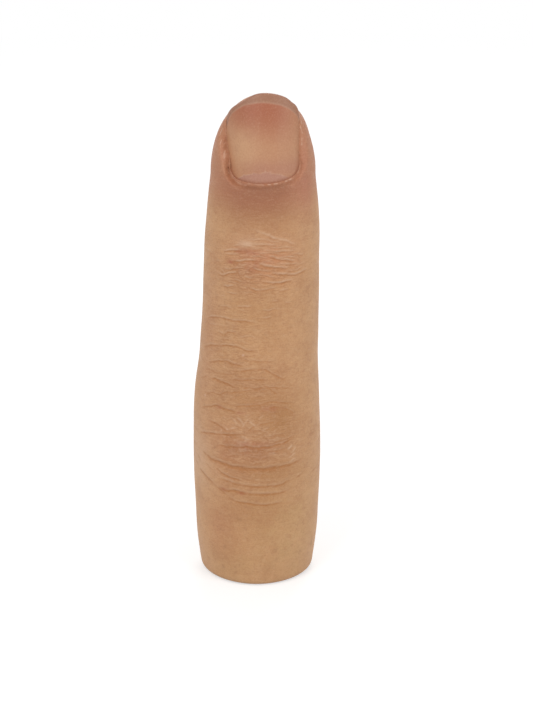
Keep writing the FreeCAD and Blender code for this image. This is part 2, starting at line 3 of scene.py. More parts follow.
import bpy
import numpy as np
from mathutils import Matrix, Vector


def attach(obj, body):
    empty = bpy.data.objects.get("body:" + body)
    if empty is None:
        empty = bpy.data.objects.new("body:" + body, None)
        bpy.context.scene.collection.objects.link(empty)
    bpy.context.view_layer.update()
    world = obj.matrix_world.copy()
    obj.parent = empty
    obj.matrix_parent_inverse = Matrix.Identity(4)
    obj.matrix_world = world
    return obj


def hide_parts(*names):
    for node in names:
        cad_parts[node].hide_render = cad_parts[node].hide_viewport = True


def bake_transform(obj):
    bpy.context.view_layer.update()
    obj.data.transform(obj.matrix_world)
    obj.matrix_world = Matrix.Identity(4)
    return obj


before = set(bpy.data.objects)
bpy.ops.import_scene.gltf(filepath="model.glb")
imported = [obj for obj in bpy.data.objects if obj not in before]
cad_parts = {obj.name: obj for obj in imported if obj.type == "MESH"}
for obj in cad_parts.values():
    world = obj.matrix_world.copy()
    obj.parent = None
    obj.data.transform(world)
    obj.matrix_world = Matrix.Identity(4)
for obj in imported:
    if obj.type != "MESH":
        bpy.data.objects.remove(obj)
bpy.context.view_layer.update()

# ------------------------------------------------------------------ studio
# A pale floor with no edge in sight, a white room and three large soft lamps. The camera stands a
# short way off on the nail side and looks a little down on the finger.
AIM = (0.0016, 0.0, 0.03612)
CAMERA_DISTANCE = 0.300
CAMERA_HEIGHT_ANGLE = math.radians(19.5)
CAMERA_LENS = 95.7
LAMPS = [
    ("lamp_front_left", (-0.42, -0.55, 0.50), 0.45, 2.3),
    ("lamp_front_right", (0.55, -0.45, 0.40), 0.50, 1.9),
    ("lamp_back", (0.10, 0.70, 0.60), 0.50, 2.2),
]
WHITE = (1.0, 1.0, 1.0, 1.0)
ROOM_LIGHT = 0.53
SHOWN_WHITE = 1.0
FLOOR_REACH = 3.0
FLOOR_HEIGHT = -0.0002
FLOOR_GREY = (0.62, 0.62, 0.62, 1.0)
FLOOR_LIFT = 0.52
FADE_START, FADE_END = 0.14, 0.5

scene = bpy.context.scene
scene.view_settings.view_transform = "Standard"


def in_scene(name, data):
    """An object at the origin that shows a mesh, a lamp or a camera."""
    made = bpy.data.objects.new(name, data)
    scene.collection.objects.link(made)
    return made


camera_data = bpy.data.cameras.new("studio_camera")
camera_data.lens = CAMERA_LENS
camera_data.sensor_width = 36.0
camera_data.clip_start = 0.01
scene.camera = in_scene("studio_camera", camera_data)
scene.camera.location = (
    AIM[0],
    AIM[1] - CAMERA_DISTANCE * math.cos(CAMERA_HEIGHT_ANGLE),
    AIM[2] + CAMERA_DISTANCE * math.sin(CAMERA_HEIGHT_ANGLE),
)
scene.camera.rotation_euler = (math.pi / 2 - CAMERA_HEIGHT_ANGLE, 0.0, 0.0)

for name, place, side, power in LAMPS:
    lamp = bpy.data.lights.new(name, "AREA")
    lamp.shape = "SQUARE"
    lamp.size = side
    lamp.energy = power
    holder = in_scene(name, lamp)
    holder.location = place
    towards = Vector(AIM) - Vector(place)
    holder.rotation_euler = towards.to_track_quat("-Z", "Y").to_euler()


def feed(tree, socket, value):
    """Links a socket to the value where that is another socket, and sets it where it is plain."""
    if isinstance(value, bpy.types.NodeSocket):
        tree.links.new(value, socket)
    else:
        socket.default_value = value


def wired(tree, kind, inputs, **settings):
    """Adds a shader node, puts its settings on it, feeds its inputs and hands back its outputs."""
    node = tree.nodes.new("ShaderNode" + kind)
    for name, value in settings.items():
        setattr(node, name, value)
    for name, value in inputs.items():
        feed(tree, node.inputs[name], value)
    return node.outputs


def seen_by_eye(tree):
    """1 for a ray that shows a surface to the eye, straight, off gloss or through glass, else 0."""
    path = wired(tree, "LightPath", {})
    seen = path["Is Camera Ray"]
    for kind in ("Is Glossy Ray", "Is Transmission Ray"):
        seen = wired(tree, "Math", {0: seen, 1: path[kind]}, operation="MAXIMUM")[0]
    return seen


room = bpy.data.worlds.new("white_room")
room.use_nodes = True
scene.world = room
tree = room.node_tree
tree.nodes.clear()
lit = wired(tree, "Background", {"Color": WHITE, "Strength": ROOM_LIGHT})[0]
shown = wired(tree, "Background", {"Color": WHITE, "Strength": SHOWN_WHITE})[0]
walls = wired(tree, "MixShader", {0: seen_by_eye(tree), 1: lit, 2: shown})[0]
wired(tree, "OutputWorld", {"Surface": walls})

floor_mesh = bpy.data.meshes.new("floor")
floor_corners = [(-1, -1), (1, -1), (1, 1), (-1, 1)]
floor_mesh.from_pydata(
    [(x * FLOOR_REACH, y * FLOOR_REACH, FLOOR_HEIGHT) for x, y in floor_corners], [], [(0, 1, 2, 3)]
)
floor = in_scene("floor", floor_mesh)
floor_paint = bpy.data.materials.new("white_floor")
floor_paint.use_nodes = True
tree = floor_paint.node_tree
tree.nodes.clear()
seen = seen_by_eye(tree)
matt = wired(tree, "BsdfDiffuse", {"Color": FLOOR_GREY})[0]
lift = wired(tree, "Math", {0: seen, 1: FLOOR_LIFT}, operation="MULTIPLY")[0]
glow = wired(tree, "Emission", {"Strength": lift})[0]
near = wired(tree, "AddShader", {0: matt, 1: glow})[0]
here = wired(tree, "TexCoord", {})["Object"]
away = wired(tree, "VectorMath", {0: here}, operation="LENGTH")["Value"]
fade_inputs = {"Value": away, "From Min": FADE_START, "From Max": FADE_END}
fade = wired(tree, "MapRange", fade_inputs, interpolation_type="SMOOTHSTEP")[0]
faded = wired(tree, "Math", {0: fade, 1: seen}, operation="MULTIPLY")[0]
far = wired(tree, "Emission", {"Strength": SHOWN_WHITE})[0]
ground = wired(tree, "MixShader", {0: faded, 1: near, 2: far})[0]
wired(tree, "OutputMaterial", {"Surface": ground})
floor_mesh.materials.append(floor_paint)

# ------------------------------------------------------------------ silicone skin
# The outside of the finger: one moulding of tinted silicone, about 2.4 mm thick and closed at the
# tip, with the knuckle wrinkles cast in and the blush and shadow tones painted into the silicone.
# It is slipped over the foam and glued to the liner and cup. All sizes here are in millimetres.
MM = 0.001

PROFILE_HEIGHTS = np.array([0, 4, 11, 22, 30, 38, 46, 53, 60, 66.0])
HALF_WIDTH = np.array([8.98, 9.55, 9.97, 10.2, 9.95, 9.35, 9.12, 9.00, 8.70, 8.07])
LEAN = np.array([0, 0, 0.05, 0.05, 0.08, 0.4, 0.72, 0.83, 1.04, 1.06])
NAIL_SIDE_DEPTH = np.array([8.68, 8.75, 8.85, 9.1, 8.6, 8.0, 7.75, 7.65, 7.15, 6.75])
PALM_SIDE_DEPTH = np.array([8.5, 8.85, 9.1, 8.45, 8.7, 8.75, 8.35, 7.95, 8.7, 8.6])
TIP_START = PROFILE_HEIGHTS[-1]
TIP_RISE = 12.2
TIP_SETBACK = 1.2
OVAL_POWER = 0.94
RIM_OVAL_POWER = 1.05
RIM_OVAL_TOP = 8.0
RIM_ROUND = 0.95
RIM_INSET = 0.55
SEAM_HEIGHT = 46.4
SMOOTH_TOP = 13.0
COARSE_CELL, FINE_CELL, FINEST_CELL = 0.30, 0.145, 0.12
RIM_ROWS, TIP_ROWS, COLUMNS = 9, 84, 288
NAIL_SIDE_SHARE = 0.42


def smooth_through(height, values):
    """A cubic curve through the values at the profile heights, level with its neighbours' chord at
    each."""
    slope = np.gradient(values, PROFILE_HEIGHTS)
    last = len(PROFILE_HEIGHTS) - 2
    i = np.clip(np.searchsorted(PROFILE_HEIGHTS, height) - 1, 0, last)
    span = PROFILE_HEIGHTS[i + 1] - PROFILE_HEIGHTS[i]
    t = np.clip((height - PROFILE_HEIGHTS[i]) / span, 0, 1)
    rise = 3 * t**2 - 2 * t**3
    start_bend = t**3 - 2 * t**2 + t
    end_bend = t**3 - t**2
    level = values[i] * (1 - rise) + values[i + 1] * rise
    return level + span * (slope[i] * start_bend + slope[i + 1] * end_bend)


def eased(value, low, high):
    """Rises smoothly from 0 at low to 1 at high."""
    t = np.clip((value - low) / (high - low), 0, 1)
    return t * t * (3 - 2 * t)


def bell(value, middle, width, power=2):
    """A bell curve: 1 at the middle, fading over the width, and flatter on top for a higher power."""
    return np.exp(-(np.abs((value - middle) / width) ** power))


def finger_form(angle, height, inset=0.0):
    """An oval at each height, slightly squared by raising its sine and cosine to a power under one,
    but not at the rim. Above the start of the tip it shrinks as a quarter ellipse and slides back to
    the nail side."""
    shaft = np.minimum(height, TIP_START)
    climb = np.clip((height - TIP_START) / (TIP_RISE - inset), 0, 1)
    shrink = np.sqrt(np.clip(1 - climb**2, 0, 1))
    sine, cosine = np.sin(angle), np.cos(angle)
    power = OVAL_POWER + (RIM_OVAL_POWER - OVAL_POWER) * (1 - eased(height, 0.0, RIM_OVAL_TOP))
    across = np.sign(sine) * np.abs(sine) ** power
    forward = np.sign(cosine) * np.abs(cosine) ** power
    nail_side, palm_side = smooth_through(shaft, NAIL_SIDE_DEPTH), smooth_through(shaft, PALM_SIDE_DEPTH)
    depth = np.where(cosine > 0, nail_side, palm_side) - inset
    x = smooth_through(shaft, LEAN) + (smooth_through(shaft, HALF_WIDTH) - inset) * shrink * across
    y = -depth * shrink * forward - TIP_SETBACK * climb**2
    return np.stack([x, y, height + 0 * x], axis=-1)


def soft_noise(points, cell, seed):
    """Random values between -1 and 1 at the corners of a lattice of cells, faded smoothly between
    them."""
    place = points / np.asarray(cell, float)
    corner = np.floor(place).astype(np.int64)
    part = place - corner
    part = part * part * (3 - 2 * part)
    total = 0.0
    for step in np.ndindex(2, 2, 2):
        i, j, k = (corner[..., axis] + step[axis] for axis in range(3))
        mixed = (i * 73856093) ^ (j * 19349663) ^ (k * 83492791) ^ (seed * 40503)
        mixed = ((mixed ^ (mixed >> 13)) * 1274126177) & 0x7FFFFFFF
        value = ((mixed ^ (mixed >> 15)) & 0xFFFF) / 32767.5 - 1
        share = 1.0
        for axis in range(3):
            share = share * (part[..., axis] if step[axis] else 1 - part[..., axis])
        total = total + value * share
    return total


def surface_normals(points):
    """Cross product of the steps round and along a grid whose columns close on themselves."""
    around = np.roll(points, -1, axis=1) - np.roll(points, 1, axis=1)
    along = np.gradient(points, axis=0)
    normal = np.cross(around, along)
    return normal / np.maximum(np.linalg.norm(normal, axis=-1, keepdims=True), 1e-9)


def rows_between(low, high, cell):
    """Heights from low to high, about one cell apart."""
    return np.linspace(low, high, round((high - low) / cell))


even = np.linspace(-np.pi, np.pi, COLUMNS, endpoint=False)
skin_angle = even - NAIL_SIDE_SHARE * np.sin(even)
rim_rows = RIM_ROUND * (1 - np.cos(np.linspace(0, np.pi / 2, RIM_ROWS)))[:-1]
smooth_rows = rows_between(RIM_ROUND, SMOOTH_TOP, COARSE_CELL)[:-1]
lower_rows = rows_between(SMOOTH_TOP, SEAM_HEIGHT, FINE_CELL)
upper_rows = rows_between(SEAM_HEIGHT, TIP_START, FINEST_CELL)[1:]
tip_rows = TIP_START + TIP_RISE * np.sin(np.linspace(0, np.pi / 2, TIP_ROWS))[1:-1]
skin_height = np.concatenate([rim_rows, smooth_rows, lower_rows, upper_rows, tip_rows])
seam_row = len(rim_rows) + len(smooth_rows) + len(lower_rows) - 1
angle_grid, height_grid = np.meshgrid(skin_angle, skin_height)
skin_form = finger_form(angle_grid, height_grid)
rim_dip = 1 - np.clip(height_grid / RIM_ROUND, 0, 1)
rim_inset = RIM_INSET * (1 - np.sqrt(1 - rim_dip**2))
skin_form = skin_form - surface_normals(skin_form) * rim_inset[..., None]
skin_form[..., 2] = height_grid

# Wrinkles are (degree round from the nail side, height) points along each line, then how deep and
# how wide the line is. A depth below zero stands out as a ridge.
WRINKLES = [
    # over the end knuckle
    ([(-11, 59.1), (1, 58.4), (10, 57.7), (21, 57.3), (36, 56.1)], -0.03, 0.22),
    ([(2, 58.0), (12, 57.3), (22, 56.9), (34, 55.9)], 0.025, 0.2),
    ([(-44, 55.1), (-34, 55.2), (-22, 55.4), (-15, 55.4)], 0.06, 0.22),
    ([(-40, 54.7), (-30, 54.6), (-20, 54.8)], 0.04, 0.2),
    ([(-17, 56.2), (-9, 56.1)], 0.03, 0.2),
    ([(-9, 56.5), (1, 56.3), (11, 56.4), (19, 56.1)], 0.045, 0.2),
    ([(1, 55.5), (13, 55.2), (25, 55.3), (36, 55.1)], 0.055, 0.2),
    ([(5, 54.6), (11, 54.3), (22, 53.9), (33, 53.5)], 0.08, 0.22),
    ([(-30, 53.6), (-20, 53.9), (-10, 53.9), (-3, 54.1)], 0.065, 0.22),
    ([(-3, 53.5), (2, 53.1), (10, 52.8), (25, 52.7)], 0.1, 0.24),
    ([(-29, 52.5), (-22, 52.6), (-15, 52.7)], 0.04, 0.2),
    ([(-48, 51.4), (-41, 51.2), (-31, 51.8), (-23, 52.0)], 0.07, 0.22),
    ([(-16, 51.5), (-7, 51.2)], 0.045, 0.2),
    ([(8, 51.9), (18, 51.7), (33, 51.5), (51, 51.9)], 0.075, 0.24),
    ([(0, 50.6), (10, 50.4), (22, 50.5), (31, 50.7)], 0.095, 0.22),
    ([(-39, 49.5), (-32, 49.5), (-25, 49.8)], 0.065, 0.22),
    ([(-11, 49.7), (-4, 49.4), (5, 49.4), (14, 49.6)], 0.05, 0.2),
    ([(-52, 50.6), (-46, 50.3), (-40, 50.5)], 0.03, 0.2),
    ([(-26, 50.9), (-18, 50.6)], 0.035, 0.2),
    ([(16, 49.2), (28, 49.3)], 0.03, 0.2),
    ([(-52, 53.0), (-42, 53.3)], 0.03, 0.2),
    ([(30, 54.6), (44, 54.4)], 0.035, 0.2),
    ([(34, 52.8), (46, 53.0)], 0.03, 0.2),
    ([(-34, 48.6), (-20, 48.4)], 0.025, 0.2),
    ([(-14, 57.0), (-4, 57.2), (6, 56.9)], 0.03, 0.2),
    ([(18, 58.2), (28, 57.8)], 0.02, 0.18),
    ([(4, 56.0), (14, 55.8), (24, 55.9), (32, 55.6)], 0.05, 0.16),
    ([(-4, 55.0), (6, 55.1), (16, 54.8)], 0.045, 0.16),
    ([(14, 54.4), (26, 54.3), (36, 54.0)], 0.05, 0.16),
    ([(-10, 54.5), (-2, 54.6), (4, 54.2)], 0.045, 0.16),
    ([(12, 53.4), (24, 53.2), (38, 53.1)], 0.05, 0.16),
    ([(-8, 52.9), (0, 52.5), (8, 52.2)], 0.045, 0.16),
    ([(-38, 52.4), (-30, 52.3), (-26, 52.9)], 0.05, 0.16),
    ([(-46, 52.2), (-38, 51.7)], 0.05, 0.16),
    ([(-20, 53.0), (-12, 53.3)], 0.045, 0.16),
    ([(20, 52.2), (34, 52.2), (44, 52.4)], 0.04, 0.16),
    ([(-6, 51.9), (4, 51.6), (12, 51.2)], 0.045, 0.16),
    ([(-34, 50.4), (-22, 50.2)], 0.035, 0.16),
    ([(2, 57.3), (10, 56.9), (18, 56.8)], 0.035, 0.16),
    ([(-28, 56.0), (-20, 56.3)], 0.035, 0.16),
    # between the knuckles
    ([(8, 47.4), (16, 47.5)], 0.03, 0.18),
    ([(22, 47.2), (29, 47.1)], 0.03, 0.18),
    ([(-44, 46.1), (-34, 46.3), (-26, 46.0)], 0.04, 0.2),
    ([(-22, 46.5), (-7, 46.8)], 0.045, 0.18),
    ([(-19, 46.1), (-11, 45.7)], 0.03, 0.18),
    ([(0, 46.3), (6, 46.0), (11, 46.3), (20, 46.2)], 0.045, 0.18),
    ([(-66, 43.5), (-48, 44.3), (-37, 44.5), (-25, 44.2), (-13, 44.3), (-3, 44.1)], 0.06, 0.22),
    ([(0, 44.9), (9, 44.9)], 0.045, 0.18),
    ([(-50, 47.6), (-36, 47.8)], 0.025, 0.18),
    ([(-30, 45.2), (-16, 45.1)], 0.022, 0.18),
    ([(-45, 41.9), (-35, 41.8), (-31, 42.3), (-22, 42.2)], 0.06, 0.24),
    ([(-18, 41.6), (-11, 41.8), (-1, 41.7)], 0.045, 0.2),
    ([(-60, 42.7), (-44, 43.0), (-30, 43.2)], 0.03, 0.2),
    ([(-40, 41.0), (-26, 41.2)], 0.03, 0.18),
    ([(-68, 38.7), (-54, 39.5), (-42, 39.9), (-32, 40.2), (-22, 40.3), (-11, 39.7),
      (-1, 39.6)], 0.075, 0.22),
    ([(-59, 38.4), (-41, 39.0), (-28, 39.2)], 0.03, 0.18),
    ([(-55, 36.7), (-42, 37.3), (-30, 37.6), (-22, 37.4), (-14, 37.1)], 0.09, 0.24),
    ([(-15, 38.1), (-5, 38.0), (1, 37.9), (15, 37.8)], 0.055, 0.18),
    ([(-26, 36.3), (-15, 36.3), (-4, 36.6), (6, 36.6), (12, 36.0), (19, 35.3), (23, 34.8),
      (27, 35.3)], 0.065, 0.2),
    ([(0, 37.4), (9, 36.7)], 0.035, 0.18),
    ([(-57, 35.7), (-43, 35.5), (-30, 35.6), (-18, 35.8)], 0.05, 0.2),
    ([(-52, 34.1), (-43, 34.5), (-34, 34.3), (-27, 34.1), (-18, 33.5)], 0.095, 0.24),
    ([(-67, 33.5), (-55, 34.5)], 0.045, 0.2),
    ([(-24, 34.9), (-11, 34.9), (2, 35.1), (8, 35.0)], 0.055, 0.2),
    ([(-15, 33.7), (-6, 33.6), (4, 33.8), (12, 33.8), (20, 33.6), (33, 33.1)], 0.06, 0.18),
    ([(3, 34.4), (10, 33.6), (15, 32.9), (19, 32.2)], 0.055, 0.18),
    ([(-27, 32.7), (-15, 33.0), (-3, 33.3)], 0.05, 0.18),
    ([(-58, 31.6), (-43, 32.2), (-34, 32.1), (-26, 33.0)], 0.055, 0.2),
    ([(-48, 33.1), (-38, 33.2)], 0.03, 0.18),
    ([(3, 31.2), (13, 31.4), (23, 31.1), (36, 30.8)], 0.05, 0.18),
    ([(-24, 30.6), (-13, 30.8), (0, 30.9), (8, 31.1)], 0.05, 0.18),
    ([(-20, 40.9), (-8, 40.7)], 0.025, 0.18),
    ([(-62, 40.6), (-50, 41.2)], 0.03, 0.2),
    ([(-14, 38.8), (0, 38.9)], 0.025, 0.18),
    ([(-20, 35.4), (-6, 35.7)], 0.025, 0.18),
    # over and under the big knuckle; the ridges are the pebbled skin on it
    ([(-60, 29.1), (-48, 29.9), (-38, 30.2), (-29, 30.0), (-20, 29.8), (-10, 29.6)], 0.085, 0.22),
    ([(8, 30.4), (14, 30.6), (20, 30.5)], 0.045, 0.18),
    ([(23, 30.3), (29, 29.8), (34, 29.1)], 0.045, 0.18),
    ([(-48, 27.4), (-38, 27.3), (-31, 26.8), (-26, 26.5)], 0.055, 0.24),
    ([(-62, 24.7), (-46, 25.4), (-32, 25.7), (-20, 25.9), (-8, 26.1), (-5, 26.3)], 0.08, 0.24),
    ([(-7, 26.4), (-3, 27.3), (3, 27.9), (11, 27.9), (20, 28.2)], 0.035, 0.2),
    ([(-38, 23.8), (-29, 23.9), (-17, 23.9), (-8, 24.1), (2, 23.9), (12, 24.1), (23, 24.5),
      (34, 25.4)], 0.08, 0.26),
    ([(10, 24.5), (22, 25.0), (34, 25.7)], 0.05, 0.2),
    ([(-1, 23.7), (9, 23.3), (24, 23.5)], 0.04, 0.2),
    ([(-27, 23.4), (-18, 22.5)], 0.035, 0.22),
    ([(-10, 22.3), (4, 22.0)], 0.03, 0.22),
    ([(-57, 22.1), (-42, 21.2), (-27, 20.7), (-4, 20.3), (18, 20.6), (32, 20.7)], 0.125, 0.38),
    ([(22, 20.8), (34, 20.8), (44, 21.3)], 0.05, 0.3),
    ([(-38, 19.8), (-29, 19.1), (-20, 18.7), (-11, 18.4)], 0.105, 0.26),
    ([(-37, 18.3), (-26, 17.9), (-16, 17.7), (-6, 17.4), (6, 17.3), (20, 17.5), (36, 18.2)], 0.058, 0.34),
    ([(-62, 18.7), (-51, 17.8), (-41, 17.1)], 0.1, 0.22),
    ([(-36, 16.9), (-28, 16.3), (-19, 16.4), (-9, 16.1), (2, 15.9), (12, 15.9), (30, 16.4)], 0.085, 0.34),
    ([(-27, 15.4), (-18, 14.7), (-7, 14.4), (2, 14.1), (11, 14.1), (25, 14.3)], 0.05, 0.32),
    ([(-50, 20.2), (-42, 19.4)], 0.04, 0.22),
    ([(-43, 17.3), (-34, 16.4), (-27, 15.7), (-20, 15.0)], 0.05, 0.26),
    ([(-22, 19.4), (-12, 18.8), (-3, 18.5)], 0.035, 0.22),
    ([(-66, 21.0), (-58, 19.8)], 0.04, 0.24),
    ([(36, 18.2), (46, 19.0)], 0.04, 0.26),
    ([(31, 22.6), (36, 23.6)], -0.05, 0.18),
    ([(28, 21.9), (35, 22.6)], -0.055, 0.18),
    ([(29, 21.2), (36, 21.8)], -0.05, 0.18),
    ([(26, 23.3), (32, 24.1)], -0.065, 0.18),
    ([(-22, 28.6), (-16, 27.7)], -0.05, 0.16),
    ([(-17, 28.9), (-9, 27.6)], -0.05, 0.16),
    ([(-24, 27.0), (-15, 27.2)], -0.055, 0.16),
    ([(-12, 27.2), (-6, 28.6)], -0.045, 0.15),
    ([(-5, 28.4), (1, 27.2)], -0.045, 0.15),
    ([(1, 28.6), (6, 29.4)], -0.045, 0.15),
    ([(3, 26.8), (10, 27.3)], -0.045, 0.15),
    ([(-18, 26.5), (-10, 26.7)], -0.05, 0.15),
    ([(-30, 18.4), (-18, 18.2)], -0.035, 0.2),
    # the palm side: two bending creases and lighter lines
    ([(98, 25.4), (125, 24.9), (155, 24.9), (180, 25.1), (205, 24.8), (235, 24.9),
      (262, 25.4)], 0.36, 0.5),
    ([(108, 22.9), (140, 23.1), (170, 22.8), (200, 23.1), (230, 22.9), (250, 23.2)], 0.28, 0.45),
    ([(120, 27.2), (145, 26.9), (170, 27.3)], 0.08, 0.3),
    ([(195, 26.8), (222, 27.1), (240, 26.9)], 0.07, 0.3),
    ([(150, 21.0), (180, 20.8), (214, 21.1)], 0.07, 0.3),
    ([(96, 52.0), (125, 51.4), (155, 51.1), (180, 51.0), (205, 51.1), (235, 51.4),
      (264, 52.0)], 0.34, 0.45),
    ([(118, 49.8), (150, 49.5), (178, 49.7)], 0.08, 0.3),
    ([(190, 53.0), (215, 52.8), (240, 53.2)], 0.07, 0.28),
    ([(130, 34.4), (160, 34.0), (184, 34.3)], 0.03, 0.4),
    ([(180, 42.4), (206, 42.7), (232, 42.1)], 0.03, 0.4),
    ([(136, 10.4), (170, 9.9), (208, 10.4)], 0.03, 0.45),
    ([(172, 57.6), (180, 60.5), (181, 63.5)], 0.014, 0.45),
    ([(148, 56.6), (141, 59.5), (142, 62.5)], 0.014, 0.45),
    # round the sides of both knuckles
    ([(62, 26.0), (74, 25.4), (92, 25.2)], 0.03, 0.3),
    ([(64, 22.4), (78, 23.0), (104, 23.2)], 0.03, 0.3),
    ([(-104, 23.4), (-86, 22.8), (-66, 22.4)], 0.03, 0.3),
    ([(-94, 25.6), (-80, 25.0), (-68, 24.8)], 0.03, 0.3),
    ([(52, 17.8), (70, 18.8), (86, 20.0)], 0.025, 0.3),
    ([(-84, 20.4), (-70, 19.6), (-62, 18.9)], 0.03, 0.3),
    ([(70, 52.2), (82, 51.6), (96, 52.0)], 0.03, 0.28),
    ([(-96, 52.2), (-82, 51.6), (-72, 52.0)], 0.03, 0.28),
    ([(56, 54.0), (72, 54.6)], 0.015, 0.25),
    ([(-74, 54.4), (-56, 54.2)], 0.015, 0.25),
]
ROUND_RADIUS = 9.0
LINE_MARGIN = 1.6
LINE_SHARE = 0.66
TROUGH_SHARE, SHOULDER_SHARE, FAR_SHARE = 0.66, 0.20, 0.08
LOW_RIDGE = 0.4
CREST_SHOWN = 1.5
DEEPEST_STAIN_AND_SHADE = 0.12


def skin_noise(cell, seed):
    """Soft noise over the skin's own form."""
    return soft_noise(skin_form, cell, seed)


def turn_from(angles, middle):
    """How far angles lie from a middle one, the shorter way round."""
    return (angles - middle + np.pi) % (2 * np.pi) - np.pi


def patch_of(degree, height, reach_degrees, reach_height):
    """A soft-edged oval patch: a bell curve in degrees round and in height."""
    turn = turn_from(angle_grid, math.radians(degree))
    away = (turn / math.radians(reach_degrees)) ** 2 + ((height_grid - height) / reach_height) ** 2
    return np.exp(-away)


def patches(*rows):
    """Soft patches added up: each row is a share, then the degree, height and two reaches."""
    return sum(share * patch_of(*place) for share, *place in rows)


def crease_fields(lines, strength):
    """For each line, a narrow trough and a ridge along its upper side, faded out at both ends: how far
    a point is from the line, and on which side, goes into bell curves. Returns the lift, how much the
    trough is painted darker, as crease stain and painted shade, and how much the ridge gets a painted
    highlight."""
    lift, trough, crest = (np.zeros_like(height_grid) for _ in range(3))
    for points, depth, line_width in lines:
        width = LINE_SHARE * line_width
        degrees, heights = np.array(points, float).T
        middle = np.radians(degrees.mean())
        path_u = ROUND_RADIUS * (np.radians(degrees) - middle)
        around = ROUND_RADIUS * turn_from(skin_angle, middle)
        near_columns = np.flatnonzero(np.abs(around) < np.abs(path_u).max() + LINE_MARGIN)
        over_foot = skin_height > heights.min() - LINE_MARGIN
        near_rows = np.flatnonzero(over_foot & (skin_height < heights.max() + LINE_MARGIN))
        patch = np.ix_(near_rows, near_columns)
        u = around[near_columns][None, :] + wobble[0][patch]
        v = height_grid[patch] + wobble[1][patch]
        nearest = np.full(u.shape, np.inf)
        share, above = np.zeros(u.shape), np.zeros(u.shape)
        steps = np.hypot(np.diff(path_u), np.diff(heights))
        travelled = np.concatenate([[0], np.cumsum(steps)])
        for i, step in enumerate(steps):
            run_u, run_v = (path_u[i + 1] - path_u[i]) / step, (heights[i + 1] - heights[i]) / step
            from_u, from_v = u - path_u[i], v - heights[i]
            along = np.clip(from_u * run_u + from_v * run_v, 0, step)
            away = np.hypot(from_u - along * run_u, from_v - along * run_v)
            closer = away < nearest
            nearest = np.where(closer, away, nearest)
            above = np.where(closer, np.sign(from_v * run_u - from_u * run_v), above)
            share = np.where(closer, (travelled[i] + along) / travelled[-1], share)
        fade = strength[patch] * np.clip(4.0 * np.minimum(share, 1 - share), 0, 1) ** 0.7
        signed = nearest * above
        bottom = bell(nearest, 0, width)
        shoulder = bell(signed, 1.5 * width, 1.1 * width)
        far_side = bell(signed, -1.9 * width, 1.5 * width)
        ridge = LOW_RIDGE + (1 - LOW_RIDGE) * eased(height_grid[patch], 36, 48)
        raised = SHOULDER_SHARE * ridge * shoulder + FAR_SHARE * far_side
        lift[patch] += depth * fade * (raised - TROUGH_SHARE * bottom)
        # The trough is painted darker the deeper it is: crease stain and painted shade.
        tinted = np.clip(depth, 0, DEEPEST_STAIN_AND_SHADE)
        soft_edge = (0.08 + 1.7 * tinted) * bell(nearest, 0, 2.6 * width)
        trough[patch] += tinted * fade * (1.15 * bell(nearest, 0, 0.75 * width) + soft_edge)
        # The ridge beside the trough, or a ridge line itself, is painted lighter: a painted highlight.
        crest[patch] += CREST_SHOWN * fade * (ridge * shoulder * depth if depth > 0 else -depth * bottom)
    return lift, trough, crest


wobble = [
    0.15 * skin_noise((1.2, 1.2, 1.5), seed) + 0.06 * skin_noise(0.42, seed + 5) for seed in (11, 12)
]
strength = 1 + 0.5 * skin_noise(0.8, 13) + 0.55 * skin_noise(0.36, 14)
strength = np.clip(strength, 0.1, 2) * (1 + 0.08 * eased(height_grid, 46, 50))
lift, stain_and_shade, painted_highlight = crease_fields(WRINKLES, strength)

# Finer relief: short broken wrinkles across the two knuckles and the left of the middle, lumps and
# rough specks on the big knuckle, a welt over the end knuckle, a slow unevenness and a fine grain all
# over, and a fuller right side near the tip.
FINE_LINE_DEPTH, FINE_RIDGE_LIFT, CROSS_LINE_DEPTH = 0.042, 0.026, 0.006
SMOOTH_SKIN_LINE_DEPTH = 0.010
WELT_LIFT = 0.10
SLOW_SWELL, GRAIN_LIFT = 0.05, 0.008
TIP_SIDE_FILL, TIP_SIDE_HEIGHT = 0.36, 75.0
SPECK_LIFT, SPECK_HIGHLIGHT = 0.05, 0.09
wrinkled = patches(
    (1.0, -4, 53, 44, 4.6),
    (0.8, -6, 24, 48, 6),
    (0.65, -28, 39, 34, 9),
    (0.25, 0, 34, 34, 4),
    (0.5, 180, 24, 60, 4),
    (0.5, 180, 51, 60, 4),
)
wrinkled = np.clip(wrinkled, 0, 1)
bent = skin_form + np.stack([0 * wobble[0], 0 * wobble[0], 2.2 * wobble[1]], axis=-1)
fine_field = soft_noise(bent, (1.9, 1.9, 0.46), 21) + 0.3 * soft_noise(bent, (0.7, 0.7, 0.3), 26)
fine_lines = np.clip(1 - np.abs(fine_field), 0, 1) ** 7
fine_ridges = np.clip(1 - np.abs(fine_field - 0.24), 0, 1) ** 7
cross_lines = np.clip(1 - np.abs(skin_noise((0.8, 0.8, 1.2), 22)), 0, 1) ** 8
broken = np.clip(0.6 + 1.4 * skin_noise(1.1, 28), 0, 1)
lumps = skin_noise((1.5, 1.5, 1.1), 23)
rough_specks = np.clip(skin_noise((0.42, 0.42, 0.3), 29) - 0.25, 0, 1)
crown = patch_of(-2, 25.0, 34, 4.2)

lift -= wrinkled * broken * (FINE_LINE_DEPTH * fine_lines - FINE_RIDGE_LIFT * fine_ridges)
lift -= CROSS_LINE_DEPTH * cross_lines
lift -= SMOOTH_SKIN_LINE_DEPTH * broken * fine_lines * (1 - wrinkled)
lift += lumps * patches((0.05, -2, 26.5, 30, 3.4), (0.03, 0, 54, 30, 2.6))
lift += WELT_LIFT * patch_of(-16, 56.5, 7, 0.6)
lift += SLOW_SWELL * skin_noise((4.5, 4.5, 4.0), 24) + GRAIN_LIFT * skin_noise(0.42, 25)
lift += TIP_SIDE_FILL * bell(height_grid, TIP_SIDE_HEIGHT, 2.5) * eased(np.sin(angle_grid), 0.25, 0.8)
lift *= eased(height_grid, 0.0, 1.2)
lift += SPECK_LIFT * rough_specks * crown
